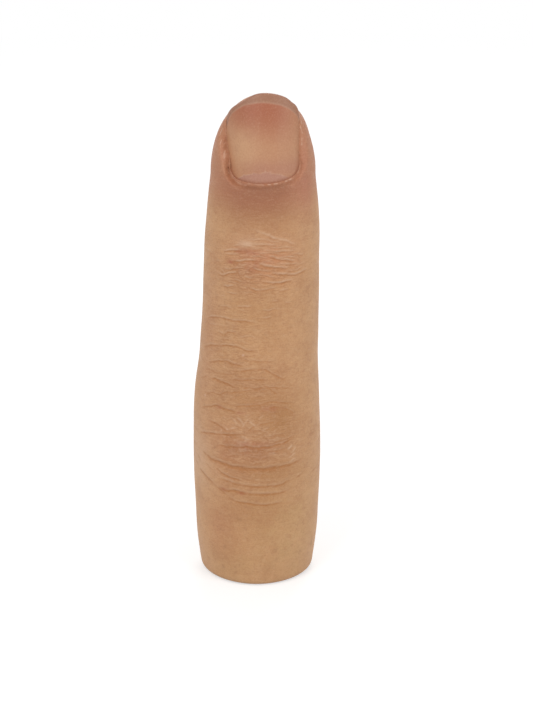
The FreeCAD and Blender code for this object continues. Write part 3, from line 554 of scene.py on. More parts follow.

# How much the troughs are painted dark, as crease stain and painted shade, and how much the ridges get
# painted highlights.
stain_and_shade += (FINE_LINE_DEPTH * wrinkled + 0.006) * broken * fine_lines + 0.03 * patch_of(6, 20.4, 9, 0.4)
# Painted highlights on the fine ridges, the rough specks and the lumps, and in pale patches over both
# knuckles.
painted_highlight += 0.048 * wrinkled * broken * fine_ridges + SPECK_HIGHLIGHT * rough_specks * crown
painted_highlight += 0.02 * np.clip(lumps, 0, 1) * patch_of(-6, 27, 22, 2.2)
painted_highlight += rough_specks * patches((0.25, -28, 26.5, 7, 0.8), (0.12, -8, 18.1, 16, 0.8))
painted_highlight += patches(
    (0.09, -15, 56.6, 7, 0.5),
    (0.022, -14, 57.0, 20, 1.6),
    (0.012, 14, 55.4, 26, 2.2),
    (0.075, -62, 20.5, 18, 5.0),
    (0.007, -9, 18.1, 12, 0.6),
)
skin_outside = skin_form + surface_normals(skin_form) * lift[..., None]

# The nail's own surface bends in two ways, and its bed is sunk into the fingertip behind it.
NAIL_MIDDLE = 1.53
NAIL_CREST = -5.55
NAIL_CREST_HEIGHT = 72.6
NAIL_TILT = math.radians(9.7)
NAIL_LENGTH_BEND = 60.0
NAIL_CROSS_BEND = 7.0
BED_BEHIND = 0.8
NAIL_LEFT, NAIL_RIGHT = -4.42, 6.48
FOLD_CORNER = 1.3
FOLD_FOOT, FOLD_FOOT_MIDDLE, FOLD_SAG = 65.72, 0.5, 0.030
FOLD_LEAN_TOP, FOLD_LEAN_REACH, FOLD_LEAN = 73.7, 4.8, 0.0247
FOLD_WAVER = 0.05
SIDE_BULGE, END_BULGE = 0.16, 0.10
PROUD, END_PROUD, CORNER_PROUD = 0.05, 0.08, 0.22


def nail_front(x, z):
    """A short arc across, carried round a long arc up the finger: the surface of a fat ring whose
    middle lies far behind the nail and a little below its crest."""
    across = np.sqrt(np.clip(NAIL_CROSS_BEND**2 - (x - NAIL_MIDDLE) ** 2, 0, None))
    reach = NAIL_LENGTH_BEND - NAIL_CROSS_BEND + across
    centre_y = NAIL_CREST + NAIL_LENGTH_BEND * math.cos(NAIL_TILT)
    centre_z = NAIL_CREST_HEIGHT - NAIL_LENGTH_BEND * math.sin(NAIL_TILT)
    return centre_y - np.sqrt(np.clip(reach**2 - (z - centre_z) ** 2, 0, None))


def fold_distance(x, z):
    """Distance outside (plus) or inside (minus) the line where skin meets nail: a box open at the top
    with rounded lower corners, whose left side leans in and whose lower side sags."""
    left = NAIL_LEFT + FOLD_LEAN * np.clip(FOLD_LEAN_TOP - z, 0, FOLD_LEAN_REACH) ** 2
    beside = np.abs(x - (left + NAIL_RIGHT) / 2) - (NAIL_RIGHT - left) / 2 + FOLD_CORNER
    under = FOLD_FOOT + FOLD_SAG * (x - FOLD_FOOT_MIDDLE) ** 2 - z + FOLD_CORNER
    corner = np.hypot(np.clip(beside, 0, None), np.clip(under, 0, None))
    return corner + np.minimum(np.maximum(beside, under), 0) - FOLD_CORNER


def deeper(first, second, softness):
    """The further back of two depths, with the corner between them rounded."""
    gap = first - second
    return second + 0.5 * (gap + np.sqrt(gap**2 + softness**2))


skin_x, skin_y, skin_z = np.moveaxis(skin_outside, -1, 0)
fold_noise = skin_noise((0.8, 0.8, 0.8), 31)
fold = fold_distance(skin_x, skin_z) + FOLD_WAVER * fold_noise
nail_side = eased(np.cos(angle_grid), -0.05, 0.15) * eased(height_grid, 60, 62)
lower_fold = eased(68.0 - height_grid, -1.5, 1.0)
left_corner = patch_of(-42, 68.2, 12, 1.5)
side_bulge = SIDE_BULGE * bell(fold, 1.5, 0.8) * (1 - lower_fold)
end_bulge = END_BULGE * bell(fold, 1.4, 0.8) * lower_fold
raised = skin_y - (side_bulge + end_bulge) * (1 - eased(height_grid, 74.0, 76.8))
proud = PROUD + END_PROUD * lower_fold + CORNER_PROUD * left_corner
beside_plate = deeper(raised, nail_front(skin_x, skin_z) - proud, 0.1)
climb_start, climb_end = 0.10 + 0.30 * lower_fold, 1.6 - 0.4 * lower_fold
climb = np.clip((fold - climb_start) / (climb_end - climb_start), 0, 1)
torn_edge = (0.03 + 0.05 * fold_noise) * bell(fold, 0.35, 0.15) * lower_fold
folded = beside_plate + (raised - beside_plate) * climb * (2 - climb) - torn_edge
sunk = deeper(skin_y, nail_front(skin_x, skin_z) + BED_BEHIND, 0.2)
skin_y = skin_y + nail_side * (sunk + (folded - sunk) * eased(fold, -0.22, 0.06) - skin_y)
skin_outside = np.stack([skin_x, skin_y, skin_z], axis=-1)

# The inside: a round bore over the liner and cup, then a wall of one thickness over the foam.
BORE = 7.65
BORE_TOP = 18.3
WALL = 2.4
TIP_INSIDE_TOP = TIP_START + TIP_RISE - WALL


def rows_about(radius, heights, angles):
    """A row of points about the finger's middle line at each height: the radius times the sine and
    cosine of each angle."""
    level = np.asarray(heights)[:, None] + 0 * angles
    return np.stack([radius * np.sin(angles) + 0 * level, -radius * np.cos(angles) + 0 * level, level], -1)


def inside_rows(heights):
    """Rows of the finger's form drawn in by the wall's thickness."""
    angles, levels = np.meshgrid(skin_angle, heights)
    return finger_form(angles, levels, WALL)


def smooth_piece(name, points, faces):
    """An object with a smooth mesh of these points, given in millimetres."""
    mesh = bpy.data.meshes.new(name)
    mesh.from_pydata(points * MM, [], faces)
    mesh.shade_smooth()
    return in_scene(name, mesh)


def ring_shell(name, rows, poles=None):
    """A mesh over rows of points that close on themselves, in millimetres. The last row joins the
    first, or with poles, a fan of triangles closes each end on its pole."""
    count, columns = rows.shape[:2]
    number = np.arange(count * columns).reshape(count, columns)
    low = number if poles is None else number[:-1]
    high = np.roll(number, -1, axis=0) if poles is None else number[1:]
    quads = np.stack([low, np.roll(low, -1, 1), np.roll(high, -1, 1), high], axis=-1).reshape(-1, 4)
    points, faces = rows.reshape(-1, 3), quads.tolist()
    if poles is not None:
        first, last = count * columns, count * columns + 1
        turn = np.roll(number, -1, axis=1)
        faces += [(first, b, a) for a, b in zip(number[0].tolist(), turn[0].tolist())]
        faces += [(a, b, last) for a, b in zip(number[-1].tolist(), turn[-1].tolist())]
        points = np.concatenate([points, poles])
    return smooth_piece(name, points, faces)


def store(piece, name, values):
    """Keeps one number, or one vector, at each point of a piece for its material to read."""
    values = np.asarray(values, np.float32)
    kind, field = ("FLOAT_VECTOR", "vector") if values.ndim == 2 else ("FLOAT", "value")
    piece.data.attributes.new(name, kind, "POINT").data.foreach_set(field, values.ravel())


def read(items, field, kind=np.int32, each=1):
    """One value, or that many each, of all points, corners or faces of a mesh."""
    values = np.empty(len(items) * each, kind)
    items.foreach_get(field, values)
    return values


lower_outside, upper_outside = skin_outside[: seam_row + 1], skin_outside[seam_row:]
bore_rows = rows_about(BORE, np.linspace(BORE_TOP, 0, 8), skin_angle)
lower_inside = np.concatenate([inside_rows(np.linspace(SEAM_HEIGHT, BORE_TOP, 16)), bore_rows])
inside_arc = (TIP_RISE - WALL) * np.sin(np.linspace(np.pi / 2, 0, 18)[1:])
upper_inside = inside_rows(np.concatenate([TIP_START + inside_arc, np.linspace(65, SEAM_HEIGHT, 12)]))
poles = [np.array([LEAN[-1], -TIP_SETBACK, top]) for top in (TIP_INSIDE_TOP, TIP_START + TIP_RISE)]
skin_lower = ring_shell("skin_lower", np.concatenate([lower_outside, lower_inside]))
skin_upper = ring_shell("skin_upper", np.concatenate([upper_inside, upper_outside]), poles)

# Tints painted into the silicone: each is how much of one colour there is at each point. The sides
# and rim are paler and carry painted light; sallow and ochre are yellows low down and over the big
# knuckle, where the ochre's strongest patch is partly painted shade; and rosy, flush and sore are
# reds, from faint to strong. Pink lies round the nail and over the pulp, with painted light down the
# sides near the tip. The groove is the dark line round the nail, partly painted shade, the hollow is
# painted shade below the nail's fold, the cuticle is its pale torn skin, and the spots are dark flecks.
OCHRE_BAND = [
    ([(-52, 22.3), (-38, 21.6), (-27, 21.2), (-4, 20.8), (18, 21.1), (36, 21.4)], 0.12, 0.95),
]
SORE_MARKS = [(-22, 55.4), (-30, 53.6), (-13, 29.6), (-35, 30.1), (-30, 16.5), (-12, 16.2)]
DARK_SPOTS = [(17, 6.1), (19, 4.3), (46, 4.9), (-14, 11.6), (-35, 2.6), (-30, 6.4)]
FULL_STAIN_AND_SHADE, FULL_HIGHLIGHT = 0.075, 0.12
sine_grid, cosine_grid = np.sin(angle_grid), np.cos(angle_grid)
uneven = 1 + 0.5 * skin_noise((2.2, 2.2, 1.6), 34) + 0.25 * skin_noise(0.8, 35)
both_sides = eased(sine_grid, 0.1, 0.95) + eased(-sine_grid, 0.35, 0.88)
# Paler tone and painted light: the sides and the foot of the rim are painted lighter, as light falls on
# them from the side and off the floor, with a few paler patches.
paleness_and_painted_light = 0.9 * both_sides * eased(cosine_grid, -0.8, 0.1) + 0.8 * bell(height_grid, 0, 2.8)
paleness_and_painted_light += patches((0.3, 24, 6.0, 30, 5.0), (0.5, -40, 19.4, 22, 4.4), (0.25, 2, 39.5, 26, 3.0))
sallow = patches((0.9, 32, 8.0, 32, 9.0), (0.7, -24, 2.5, 26, 3.2)) * np.clip(uneven, 0.3, 1.4)
ochre_and_shade = 4.0 * crease_fields(OCHRE_BAND, 0.8 + 0.2 * strength)[1] + patches(
    # The strongest patch, on the right of the big knuckle, is partly painted shade.
    (0.85, 22, 28.0, 17, 3.6),
    (0.45, 14, 19.3, 34, 1.6),
    (0.10, 8, 54.0, 30, 2.4),
    (0.35, 6, 13.0, 24, 4.0),
    (0.40, -4, 32.2, 36, 2.8),
    (0.20, 0, 45.5, 26, 3.0),
)
rosy = patches((0.50, 2, 54.0, 34, 3.2), (0.25, -30, 23.0, 24, 5.0), (0.18, -34, 8.5, 20, 6.0))
rosy *= np.clip(uneven, 0.2, 1.6)
flush = patches(
    (0.32, -13, 52.2, 17, 1.9),
    (0.20, -10, 33.0, 44, 4.0),
    (0.44, -3, 24.0, 34, 3.2),
    (0.12, 0, 17.8, 34, 2.2),
    (0.15, -32, 10.5, 14, 5.0),
)
flush *= np.clip(uneven, 0, 2)
shadowed = bell(np.clip(fold, 0, None), 0, 6.0, 2.2) * eased(69.5 - skin_z, -1.0, 3.0)
shadowed *= bell(skin_x, 0.2, 7.2, 4) * eased(cosine_grid, -0.05, 0.6)
flush += shadowed * (1 + 0.16 * uneven) * (1 - 0.9 * left_corner)
sore = patches(
    (0.25, -8, 53.4, 9, 1.0),
    (0.30, -10, 55.4, 10, 0.6),
    (0.35, -4, 24.4, 12, 0.7),
    (0.30, 12, 30.3, 8, 0.5),
    *((0.5, *mark, 3.4, 0.30) for mark in SORE_MARKS),
)
sore *= np.clip(uneven + 0.6 * skin_noise(0.4, 36), 0, 2)
pink = 0.22 * bell(fold, 0.7, 1.1) * nail_side * (1 - 0.9 * lower_fold) * eased(cosine_grid, -0.05, 0.62)
pink += 0.62 * eased(height_grid, 59.5, 66) * eased(cosine_grid, -0.7, 0.2)
# Painted light: a pink band down both sides near the tip, for light showing red through the silicone at
# its edge.
pink += 0.3 * bell(cosine_grid, 0, 0.24) * eased(height_grid, 58, 66)
pink += patches(
    (0.45, 50, 63.5, 17, 4.8),
    (0.25, -58, 40, 16, 14),
    (0.40, 180, 67, 55, 9),
    (0.22, 180, 38, 50, 6),
    (0.18, 180, 10, 50, 5),
)
left_part = eased(-skin_x, 1.5, 3.0)
# The brown line round the nail in its side grooves, partly painted shade in the groove.
groove_tone_and_shade = bell(fold, 0.10 + 0.32 * left_part, 0.34 + 0.20 * left_part) * (0.45 + 0.05 * left_part)
groove_tone_and_shade *= nail_side * (1 - eased(skin_z, 72.5, 75.0)) * (1 - 0.9 * left_corner)
groove_tone_and_shade *= 1 - left_part * (1 - eased(fold, 0.05, 0.35))
jagged = skin_noise((0.45, 0.45, 0.9), 38)
at_left = eased(-skin_x, 0.2, 1.6)
cuticle = (1 - 0.6 * at_left) * bell(fold, 0.18 + 0.09 * jagged, 0.08)
cuticle += 0.6 * at_left * bell(fold, 0.45 + 0.16 * jagged, 0.09)
cuticle *= nail_side * eased(68.6 - skin_z, 0, 1.6)
cuticle *= np.clip(0.55 + 1.5 * skin_noise((0.5, 0.5, 0.3), 32), 0, 1)
flecks = bell(fold, 0.35, 0.28) * eased(skin_z, 68.5, 71.5)
flecks *= (1 - eased(skin_z, 74.5, 76.0)) * (1 - left_part)
flecks += 2.0 * left_part * bell(fold, 0.85, 0.4) * bell(skin_z, 72.0, 3.0)
cuticle += 0.7 * nail_side * flecks * np.clip(3 * skin_noise((0.3, 0.3, 0.4), 33) - 0.7, 0, 1)
# Two tiny pale specks on the middle of the finger, in the cuticle's colour.
cuticle += patches((1.2, -14, 38.9, 1.1, 0.16), (1.2, -55, 31.3, 1.1, 0.16))
spots = 0.8 * np.clip((skin_noise(0.30, 37) - 0.66) / 0.34, 0, 1) * (0.5 + 0.5 * wrinkled)
spots += patches((0.25, -16, 11.4, 4, 0.5), (0.8, 66, 5.2, 1.6, 0.8))
spots += patches(*((0.5, *spot, 2.0, 0.28) for spot in DARK_SPOTS))
# Painted shade on the skin just below the nail's fold.
painted_shade_below_fold = eased(fold, 0.18, 0.50) * np.exp(-np.clip(fold - 0.5, 0, None)) * lower_fold * nail_side
painted_shade_below_fold *= bell(skin_x, 1.3, 4.5, 4) * (1 - np.clip(1.6 * cuticle, 0, 1))
tints = {
    "paleness_and_painted_light": paleness_and_painted_light,
    "sallow": sallow,
    "ochre_and_shade": ochre_and_shade,
    "rosy": rosy,
    "flush": flush,
    "sore": sore,
    "pink": pink,
    "stain_and_shade": stain_and_shade / FULL_STAIN_AND_SHADE,
    "painted_highlight": painted_highlight / FULL_HIGHLIGHT,
    "painted_shade_below_fold": painted_shade_below_fold,
    "groove_tone_and_shade": groove_tone_and_shade,
    "cuticle": cuticle,
    "spots": spots,
    "pulp": eased(-cosine_grid, 0.0, 0.5) * eased(height_grid, 57, 60),
    "wrinkled": wrinkled,
}
for name, values in tints.items():
    values = np.clip(values, 0, 1)
    hidden = np.zeros(lower_inside.shape[:2])
    store(skin_lower, name, np.concatenate([values[: seam_row + 1], hidden]).ravel())
    hidden = np.zeros(upper_inside.shape[:2])
    shown = np.concatenate([hidden, values[seam_row:]]).ravel()
    store(skin_upper, name, np.concatenate([shown, [0, shown[-1]]]))

# The two lengths meet on one ring of points, and its normals are the same on both, so no line shows.
# The hidden faces that close the wall there keep their own normals.
seam_normals = surface_normals(skin_outside)[seam_row]
for piece, first, cap_row in (
    (skin_lower, seam_row * COLUMNS, seam_row),
    (skin_upper, upper_inside[..., 0].size, upper_inside.shape[0] - 1),
):
    at_rest = read(piece.data.vertices, "co", float, 3)
    store(piece, "place", at_rest.reshape(-1, 3) / MM)
    corners = read(piece.data.loops, "vertex_index")
    sides = read(piece.data.polygons, "loop_total")
    on_seam = (corners >= first) & (corners < first + COLUMNS)
    normals = np.zeros((len(corners), 3))
    normals[on_seam] = seam_normals[corners[on_seam] - first]
    faces_in = np.repeat(np.arange(len(sides)), sides)
    normals[(faces_in >= cap_row * COLUMNS) & (faces_in < (cap_row + 1) * COLUMNS)] = 0
    piece.data.normals_split_custom_set(normals.tolist())


def display(red, green, blue):
    """A colour given as it looks on a screen, from 0 to 255, turned into light values."""
    parts = [((part / 255 + 0.055) / 1.055) ** 2.4 for part in (red, green, blue)]
    return (*parts, 1.0)


class Paint:
    """A material under construction: a principled shader, with short calls for the nodes it uses."""

    def __init__(self, name, roughness=0.5, specular=0.5, metallic=0.0):
        self.material = bpy.data.materials.new(name)
        self.material.use_nodes = True
        self.tree = self.material.node_tree
        self.shader = self.tree.nodes["Principled BSDF"].inputs
        self.shader["Roughness"].default_value = roughness
        self.shader["Specular IOR Level"].default_value = specular
        self.shader["Metallic"].default_value = metallic

    def sum(self, first, second, how="ADD"):
        """Two numbers added, or combined in another way."""
        return wired(self.tree, "Math", {0: first, 1: second}, operation=how)[0]

    def times(self, first, second):
        """Two numbers multiplied."""
        return self.sum(first, second, "MULTIPLY")

    def stored(self, name, share=1.0):
        """The number kept on the piece under that name, or a share of it."""
        whole = wired(self.tree, "Attribute", {}, attribute_name=name)["Fac"]
        return whole if share == 1 else self.times(whole, share)

    def place(self, stretch=(1, 1, 1)):
        """The point on the piece itself, in millimetres, stretched along each axis."""
        here = wired(self.tree, "TexCoord", {})["Object"]
        return self.moved(here, Scale=[part / MM for part in stretch])

    def moved(self, place, **change):
        """A place stretched by a Scale or shifted by a Location."""
        return wired(self.tree, "Mapping", {"Vector": place, **change})[0]

    def noise(self, place, cell, detail=2.0, rough=0.5):
        """Cloudy noise from 0 to 1 whose blotches are about one cell across."""
        inputs = {"Vector": place, "Scale": 1 / cell, "Detail": detail, "Roughness": rough}
        return wired(self.tree, "TexNoise", inputs)["Fac"]

    def cells(self, place, scale):
        """Distance to the walls between rounded cells."""
        inputs = {"Vector": place, "Scale": scale}
        return wired(self.tree, "TexVoronoi", inputs, feature="DISTANCE_TO_EDGE")["Distance"]

    def spread(self, value, low, high, out_low=0.0, out_high=1.0):
        """Maps low to high onto new limits and holds it there."""
        inputs = {"Value": value, "From Min": low, "From Max": high, "To Min": out_low, "To Max": out_high}
        return wired(self.tree, "MapRange", inputs)[0]

    def coats(self, first, *laid):
        """A first colour under coats of others, laid in their order, each as far as its amount says."""
        colour = display(*first)
        for amount, shade in laid:
            inputs = {"Factor": amount, "A": colour, "B": display(*shade)}
            colour = wired(self.tree, "Mix", inputs, data_type="RGBA")["Result"]
        return colour

    def finished(self, colour, height, depth_mm, worn=None):
        """The material with this colour and with relief of this depth. Where its roughness varies,
        worn gives the noise that it follows and its two limits."""
        feed(self.tree, self.shader["Base Color"], colour)
        if worn:
            cloud, smoothest, roughest = worn
            varied = self.spread(cloud, 0.3, 0.7, smoothest, roughest)
            feed(self.tree, self.shader["Roughness"], varied)
        inputs = {"Height": height, "Strength": 1.0, "Distance": depth_mm * MM}
        feed(self.tree, self.shader["Normal"], wired(self.tree, "Bump", inputs)[0])
        return self.material


THREAD_WIDTH = 0.045
PORE_SCALE, RELIEF_DEPTH = 2.6, 0.030
PRINT_MIDDLE, PRINT_SCALE = (1.0, 6.0, 67.5), 0.62


def thread_lines(level):
    """Thin lines where the drawn-out noise passes one level, strongest on the wrinkled skin."""
    off_level = paint.sum(paint.sum(threads, level, "SUBTRACT"), 0.0, "ABSOLUTE")
    return paint.times(paint.spread(off_level, 0.0, THREAD_WIDTH, 1.0, 0.0), wrinkled_part)


paint = Paint("silicone_skin", specular=0.35)
place = wired(paint.tree, "Attribute", {}, attribute_name="place")["Vector"]
blotches = paint.noise(place, 3.2, 3.0, 0.6)
patchy = paint.noise(place, 1.1, 2.0, 0.5)
mottle = paint.noise(place, 0.75, 3.0, 0.6)
freckle = paint.noise(place, 0.24, 2.0, 0.6)
threads = paint.noise(paint.moved(place, Scale=(0.42, 0.42, 2.2)), 1.0, 3.0, 0.55)
wrinkled_part = paint.spread(paint.stored("wrinkled"), 0, 1, 0.3, 1.0)
dark_threads, light_threads = thread_lines(0.50), thread_lines(0.57)
colour = paint.coats(
    (199, 150, 106),
    # paler sides and rim: paler tone and painted light
    (paint.stored("paleness_and_painted_light"), (209, 162, 119)),
    (paint.spread(blotches, 0.42, 0.70, 0, 0.5), (181, 130, 91)),
    (paint.spread(mottle, 0.45, 0.75, 0, 0.35), (208, 168, 130)),
    (paint.stored("sallow", 0.3), (196, 164, 112)),
    # yellow-brown over the big knuckle, partly painted shade on its right
    (paint.stored("ochre_and_shade"), (176, 126, 80)),
    (paint.stored("rosy"), (203, 134, 97)),
    (paint.stored("flush"), (156, 102, 71)),
    (paint.stored("pink"), (184, 123, 96)),
    # painted shade below the nail's fold
    (paint.stored("painted_shade_below_fold", 0.9), (134, 84, 58)),
    (paint.spread(freckle, 0.5, 0.8, 0, 0.36), (160, 104, 64)),
    (paint.spread(freckle, 0.5, 0.2, 0, 0.15), (216, 178, 146)),
    (paint.spread(patchy, 0.56, 0.72, 0, 0.25), (170, 116, 82)),
    (paint.times(dark_threads, 0.38), (162, 106, 66)),
    (paint.times(light_threads, 0.34), (222, 180, 142)),
    (paint.stored("sore"), (165, 92, 68)),
    # painted highlights on the ridges, specks, lumps and knuckle patches
    (paint.stored("painted_highlight", 0.6), (221, 186, 156)),
    # the wrinkles' troughs: crease stain and painted shade
    (paint.stored("stain_and_shade", 0.54), (162, 99, 42)),
    # the brown line round the nail, partly painted shade
    (paint.stored("groove_tone_and_shade"), (166, 108, 74)),
    (paint.stored("spots", 0.6), (140, 90, 58)),
    (paint.stored("cuticle", 0.6), (220, 184, 160)),
)

# Bump finer than the mesh: pores, freckled grain and thin threads, and the print on the pulp.
ridge_inputs = {
    "Vector": paint.moved(place, Location=[-part for part in PRINT_MIDDLE]),
    "Scale": PRINT_SCALE,
    "Distortion": 3.0,
    "Detail": 1.0,
    "Detail Scale": 0.25,
}
ridges = wired(paint.tree, "TexWave", ridge_inputs, wave_type="RINGS", rings_direction="SPHERICAL")
grain = paint.times(paint.spread(paint.cells(place, PORE_SCALE), 0.0, 0.09), 0.45)
grain = paint.sum(grain, paint.times(freckle, 0.9))
grain = paint.sum(grain, paint.times(dark_threads, 0.8), "SUBTRACT")
grain = paint.sum(grain, paint.times(ridges["Fac"], paint.stored("pulp")))
skin_material = paint.finished(colour, grain, RELIEF_DEPTH, worn=(mottle, 0.48, 0.60))

for piece in (skin_lower, skin_upper):
    piece.data.materials.append(skin_material)
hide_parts("skin_base", "pip_flex_zone", "skin_middle")
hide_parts("dip_flex_zone", "skin_distal")
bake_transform(skin_lower)
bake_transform(skin_upper)

# ------------------------------------------------------------------ nail
# A thin plate of tinted acrylic, cast to the bed's two curves and glued into it, with its root and
# sides under the skin's edge and its end standing free. Colours are painted on the back of it.
PLATE_THICKNESS = 0.55
PLATE_MIDDLE = 1.4
PLATE_HALF_WIDTH = 5.5
PLATE_LEAN = 0.36
PLATE_ROOT, ROOT_CURVE, ROOT_CORNER = 64.6, 0.05, 1.2
PLATE_SIDE_TOP = 74.6
PLATE_END_RISE = 4.45
PLATE_EDGE_ROUND = 0.3
FILED_PLACES = [(0.46, -2.1, 1.5), (0.14, 5.4, 0.5)]
PLATE_COLUMNS, PLATE_ROWS = 150, 170
RIB_HEIGHT, RIBS_ACROSS = 0.003, 5.2
QUICK_SIDE_TOP, QUICK_RISE, QUICK_MIDDLE, QUICK_HALF_WIDTH = 73.9, 3.78, 1.2, 5.4
MOON_TOP, MOON_MIDDLE, MOON_CURVE = 67.45, 1.3, 0.075


def nail_end(x):
    """Height of the nail's end at each place across: the top of an oval, filed a little lower at two
    places."""
    share = (x - PLATE_MIDDLE) / PLATE_HALF_WIDTH
    filed = sum(depth * bell(x, middle, width) for depth, middle, width in FILED_PLACES)
    return PLATE_SIDE_TOP + PLATE_END_RISE * np.sqrt(np.clip(1 - share**2, 0, 1)) - filed


def sheet_quads(number):
    """Quads between neighbouring rows and columns of a grid that doesn't close."""
    low, high = number[:-1], number[1:]
    return np.stack([low[:, :-1], low[:, 1:], high[:, 1:], high[:, :-1]], axis=-1).reshape(-1, 4)


quarter_turns = np.linspace(-np.pi / 2, np.pi / 2, PLATE_COLUMNS)
across, upwards = np.meshgrid(np.sin(quarter_turns), np.linspace(0, 1, PLATE_ROWS))
end_x = PLATE_MIDDLE + PLATE_HALF_WIDTH * across
plate_end = nail_end(end_x)
plate_root = PLATE_ROOT + ROOT_CURVE * (end_x - 1.0) ** 2 + ROOT_CORNER * np.abs(across) ** 12
plate_z = plate_root + (plate_end - plate_root) * upwards
plate_x = end_x - PLATE_LEAN * (1 - eased(plate_z, 74.2, 77.8))
end_slope = np.gradient(plate_end[0], end_x[0])
to_end = (plate_end - plate_z) / np.sqrt(1 + end_slope**2)
to_side = 2.5 * PLATE_HALF_WIDTH * (1 - np.abs(across))
to_edge = np.minimum(np.minimum(to_end, to_side), plate_z - plate_root)
to_edge = np.clip(to_edge / PLATE_EDGE_ROUND, 0, 1)
half = PLATE_THICKNESS / 2 * np.sqrt(1 - (1 - to_edge) ** 2)
ribs = RIB_HEIGHT * np.sin(RIBS_ACROSS * plate_x + 1.5 * np.sin(0.9 * plate_x))
ribs *= eased(to_end, 0.2, 2.0)
middle_y = nail_front(plate_x, plate_z) + PLATE_THICKNESS / 2
front = np.stack([plate_x, middle_y - half + ribs * to_edge, plate_z], axis=-1)
back = np.stack([plate_x, middle_y + half, plate_z], axis=-1)

front_number = np.arange(plate_x.size).reshape(plate_x.shape)
back_number = front_number + plate_x.size
for edge in (np.s_[0, :], np.s_[-1, :], np.s_[:, 0], np.s_[:, -1]):
    back_number[edge] = front_number[edge]
plate_faces = np.concatenate([sheet_quads(front_number), sheet_quads(back_number)[:, ::-1]])
used, plate_faces = np.unique(plate_faces, return_inverse=True)
plate_points = np.concatenate([front.reshape(-1, 3), back.reshape(-1, 3)])[used]
nail = smooth_piece("nail", plate_points, plate_faces.reshape(-1, 4).tolist())

nail_x, nail_z = plate_points[:, 0], plate_points[:, 2]
nail_noise = soft_noise(plate_points, (0.9, 0.9, 0.9), 41)
quick_oval = 1 - ((nail_x - QUICK_MIDDLE) / QUICK_HALF_WIDTH) ** 2
quick_line = QUICK_SIDE_TOP + QUICK_RISE * np.sqrt(np.clip(quick_oval, 0, 1)) + 0.06 * nail_noise
moon_line = MOON_TOP - MOON_CURVE * (nail_x - MOON_MIDDLE) ** 2
for share, cell, seed in ((0.18, 0.7, 42), (0.16, 0.36, 43), (0.08, 0.2, 44)):
    moon_line += share * soft_noise(plate_points, cell, seed)
warm_height = nail_z + 0.12 + 0.05 * nail_x + 0.15 * nail_noise
warm_height += 0.5 * soft_noise(plate_points, 2.2, 45)
inside_fold = np.clip(fold_distance(nail_x, nail_z), -9, 0)

# The quick's line and the moon's edge divide the plate; the rest are tints along and inside them, besides
# painted shade where the plate goes under the fold and painted light on its underside.
nail_tints = {
    "free": eased(nail_z - quick_line, -0.10, 0.12),
    "quick": bell(nail_z - quick_line, 0.05, 0.14),
    "rim": bell(nail_z, nail_end(nail_x), 0.18),
    "moon": eased(moon_line - nail_z, -0.08, 0.08),
    "blush": bell(nail_z, 67.9, 1.3) * eased(nail_x, -3.0, 1.0),
    "moon_edge": bell(nail_z, moon_line, 0.10) * np.clip(0.6 + nail_noise, 0, 1),
    "warm": eased(warm_height, 70.8, 77.2) * bell(nail_x, 0.5, 5.4, 4),
    "pale": bell(nail_x, -2.1, 2.7) * eased(nail_z, 67, 70) * (1 - eased(nail_z, 72.5, 75.5)),
    "side": eased(nail_x, 5.7, 6.3),
    # Painted light: the plate's underside is painted pale, lifting the shade it lies in behind the tip.
    "under": used >= plate_x.size,
    # Painted shade: a dark line on the plate where it goes under the skin's fold.
    "root_shade": (0.12 + 0.88 * eased(68.5 - nail_z, -1.0, 1.5)) * bell(inside_fold, 0, 0.30),
}
for name, values in nail_tints.items():
    store(nail, name, np.clip(values, 0, 1))

paint = Paint("nail_acrylic", roughness=0.42, specular=0.36)
place = paint.place()
clouds = paint.noise(place, 2.2, 3.0, 0.55)
grit = paint.noise(place, 0.26, 2.0, 0.6)
streaks = paint.noise(paint.place((1, 1, 0.06)), 0.8, 2.0, 0.5)
colour = paint.coats(
    (190, 138, 104),
    (paint.stored("pale"), (201, 153, 116)),
    (paint.spread(clouds, 0.45, 0.7, 0, 0.3), (182, 134, 104)),
    (paint.spread(streaks, 0.45, 0.75, 0, 0.08), (206, 164, 132)),
    (paint.stored("warm"), (168, 101, 74)),
    (paint.stored("blush", 0.6), (178, 124, 102)),
    (paint.stored("moon"), (181, 131, 111)),
    (paint.stored("moon_edge", 0.45), (206, 166, 140)),
    (paint.stored("free"), (160, 114, 90)),
    (paint.stored("quick", 0.5), (186, 142, 118)),
    (paint.stored("rim", 0.6), (164, 114, 94)),
    (paint.stored("side", 0.25), (170, 116, 84)),
    # painted shade where the plate goes under the fold
    (paint.stored("root_shade", 0.95), (156, 100, 74)),
    (paint.spread(grit, 0.50, 0.8, 0, 0.30), (162, 108, 74)),
    (paint.spread(grit, 0.50, 0.2, 0, 0.20), (214, 174, 142)),
    # painted light on the plate's underside
    (paint.stored("under", 0.7), (220, 184, 160)),
)
scratches = paint.sum(grit, paint.times(streaks, 0.4))
nail_material = paint.finished(colour, scratches, depth_mm=0.010, worn=(clouds, 0.38, 0.48))
nail.data.materials.append(nail_material)
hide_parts("nail_plate")
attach(nail, "distal")


def repaint(material, *nodes):
    """Gives parts of the frame the finished material in place of their plain one."""
    for node in nodes:
        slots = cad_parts[node].data.materials
        slots.clear()
        slots.append(material)


paint = Paint("nail_adhesive", roughness=0.25)
bubbles = paint.noise(paint.place(), 0.5)
colour = paint.coats((196, 150, 112), (paint.spread(bubbles, 0.4, 0.7), (210, 172, 134)))
repaint(paint.finished(colour, bubbles, depth_mm=0.03), "nail_bond")

# ------------------------------------------------------------------ liner
# The soft cup that the residual finger sits in, a thin sleeve of clear-tinted silicone with a
# half-round closed end and three shallow grooves that hold suction. It is bonded inside the skin.
LINER_INSIDE = 7.0
LINER_WALL = 0.6
LINER_STRAIGHT = 7.0
GROOVE_HEIGHTS = (2.2, 3.6, 5.0)
GROOVE_DEPTH, GROOVE_WIDTH = 0.12, 0.22
OUTSIDE_STRAIGHT = 6.6

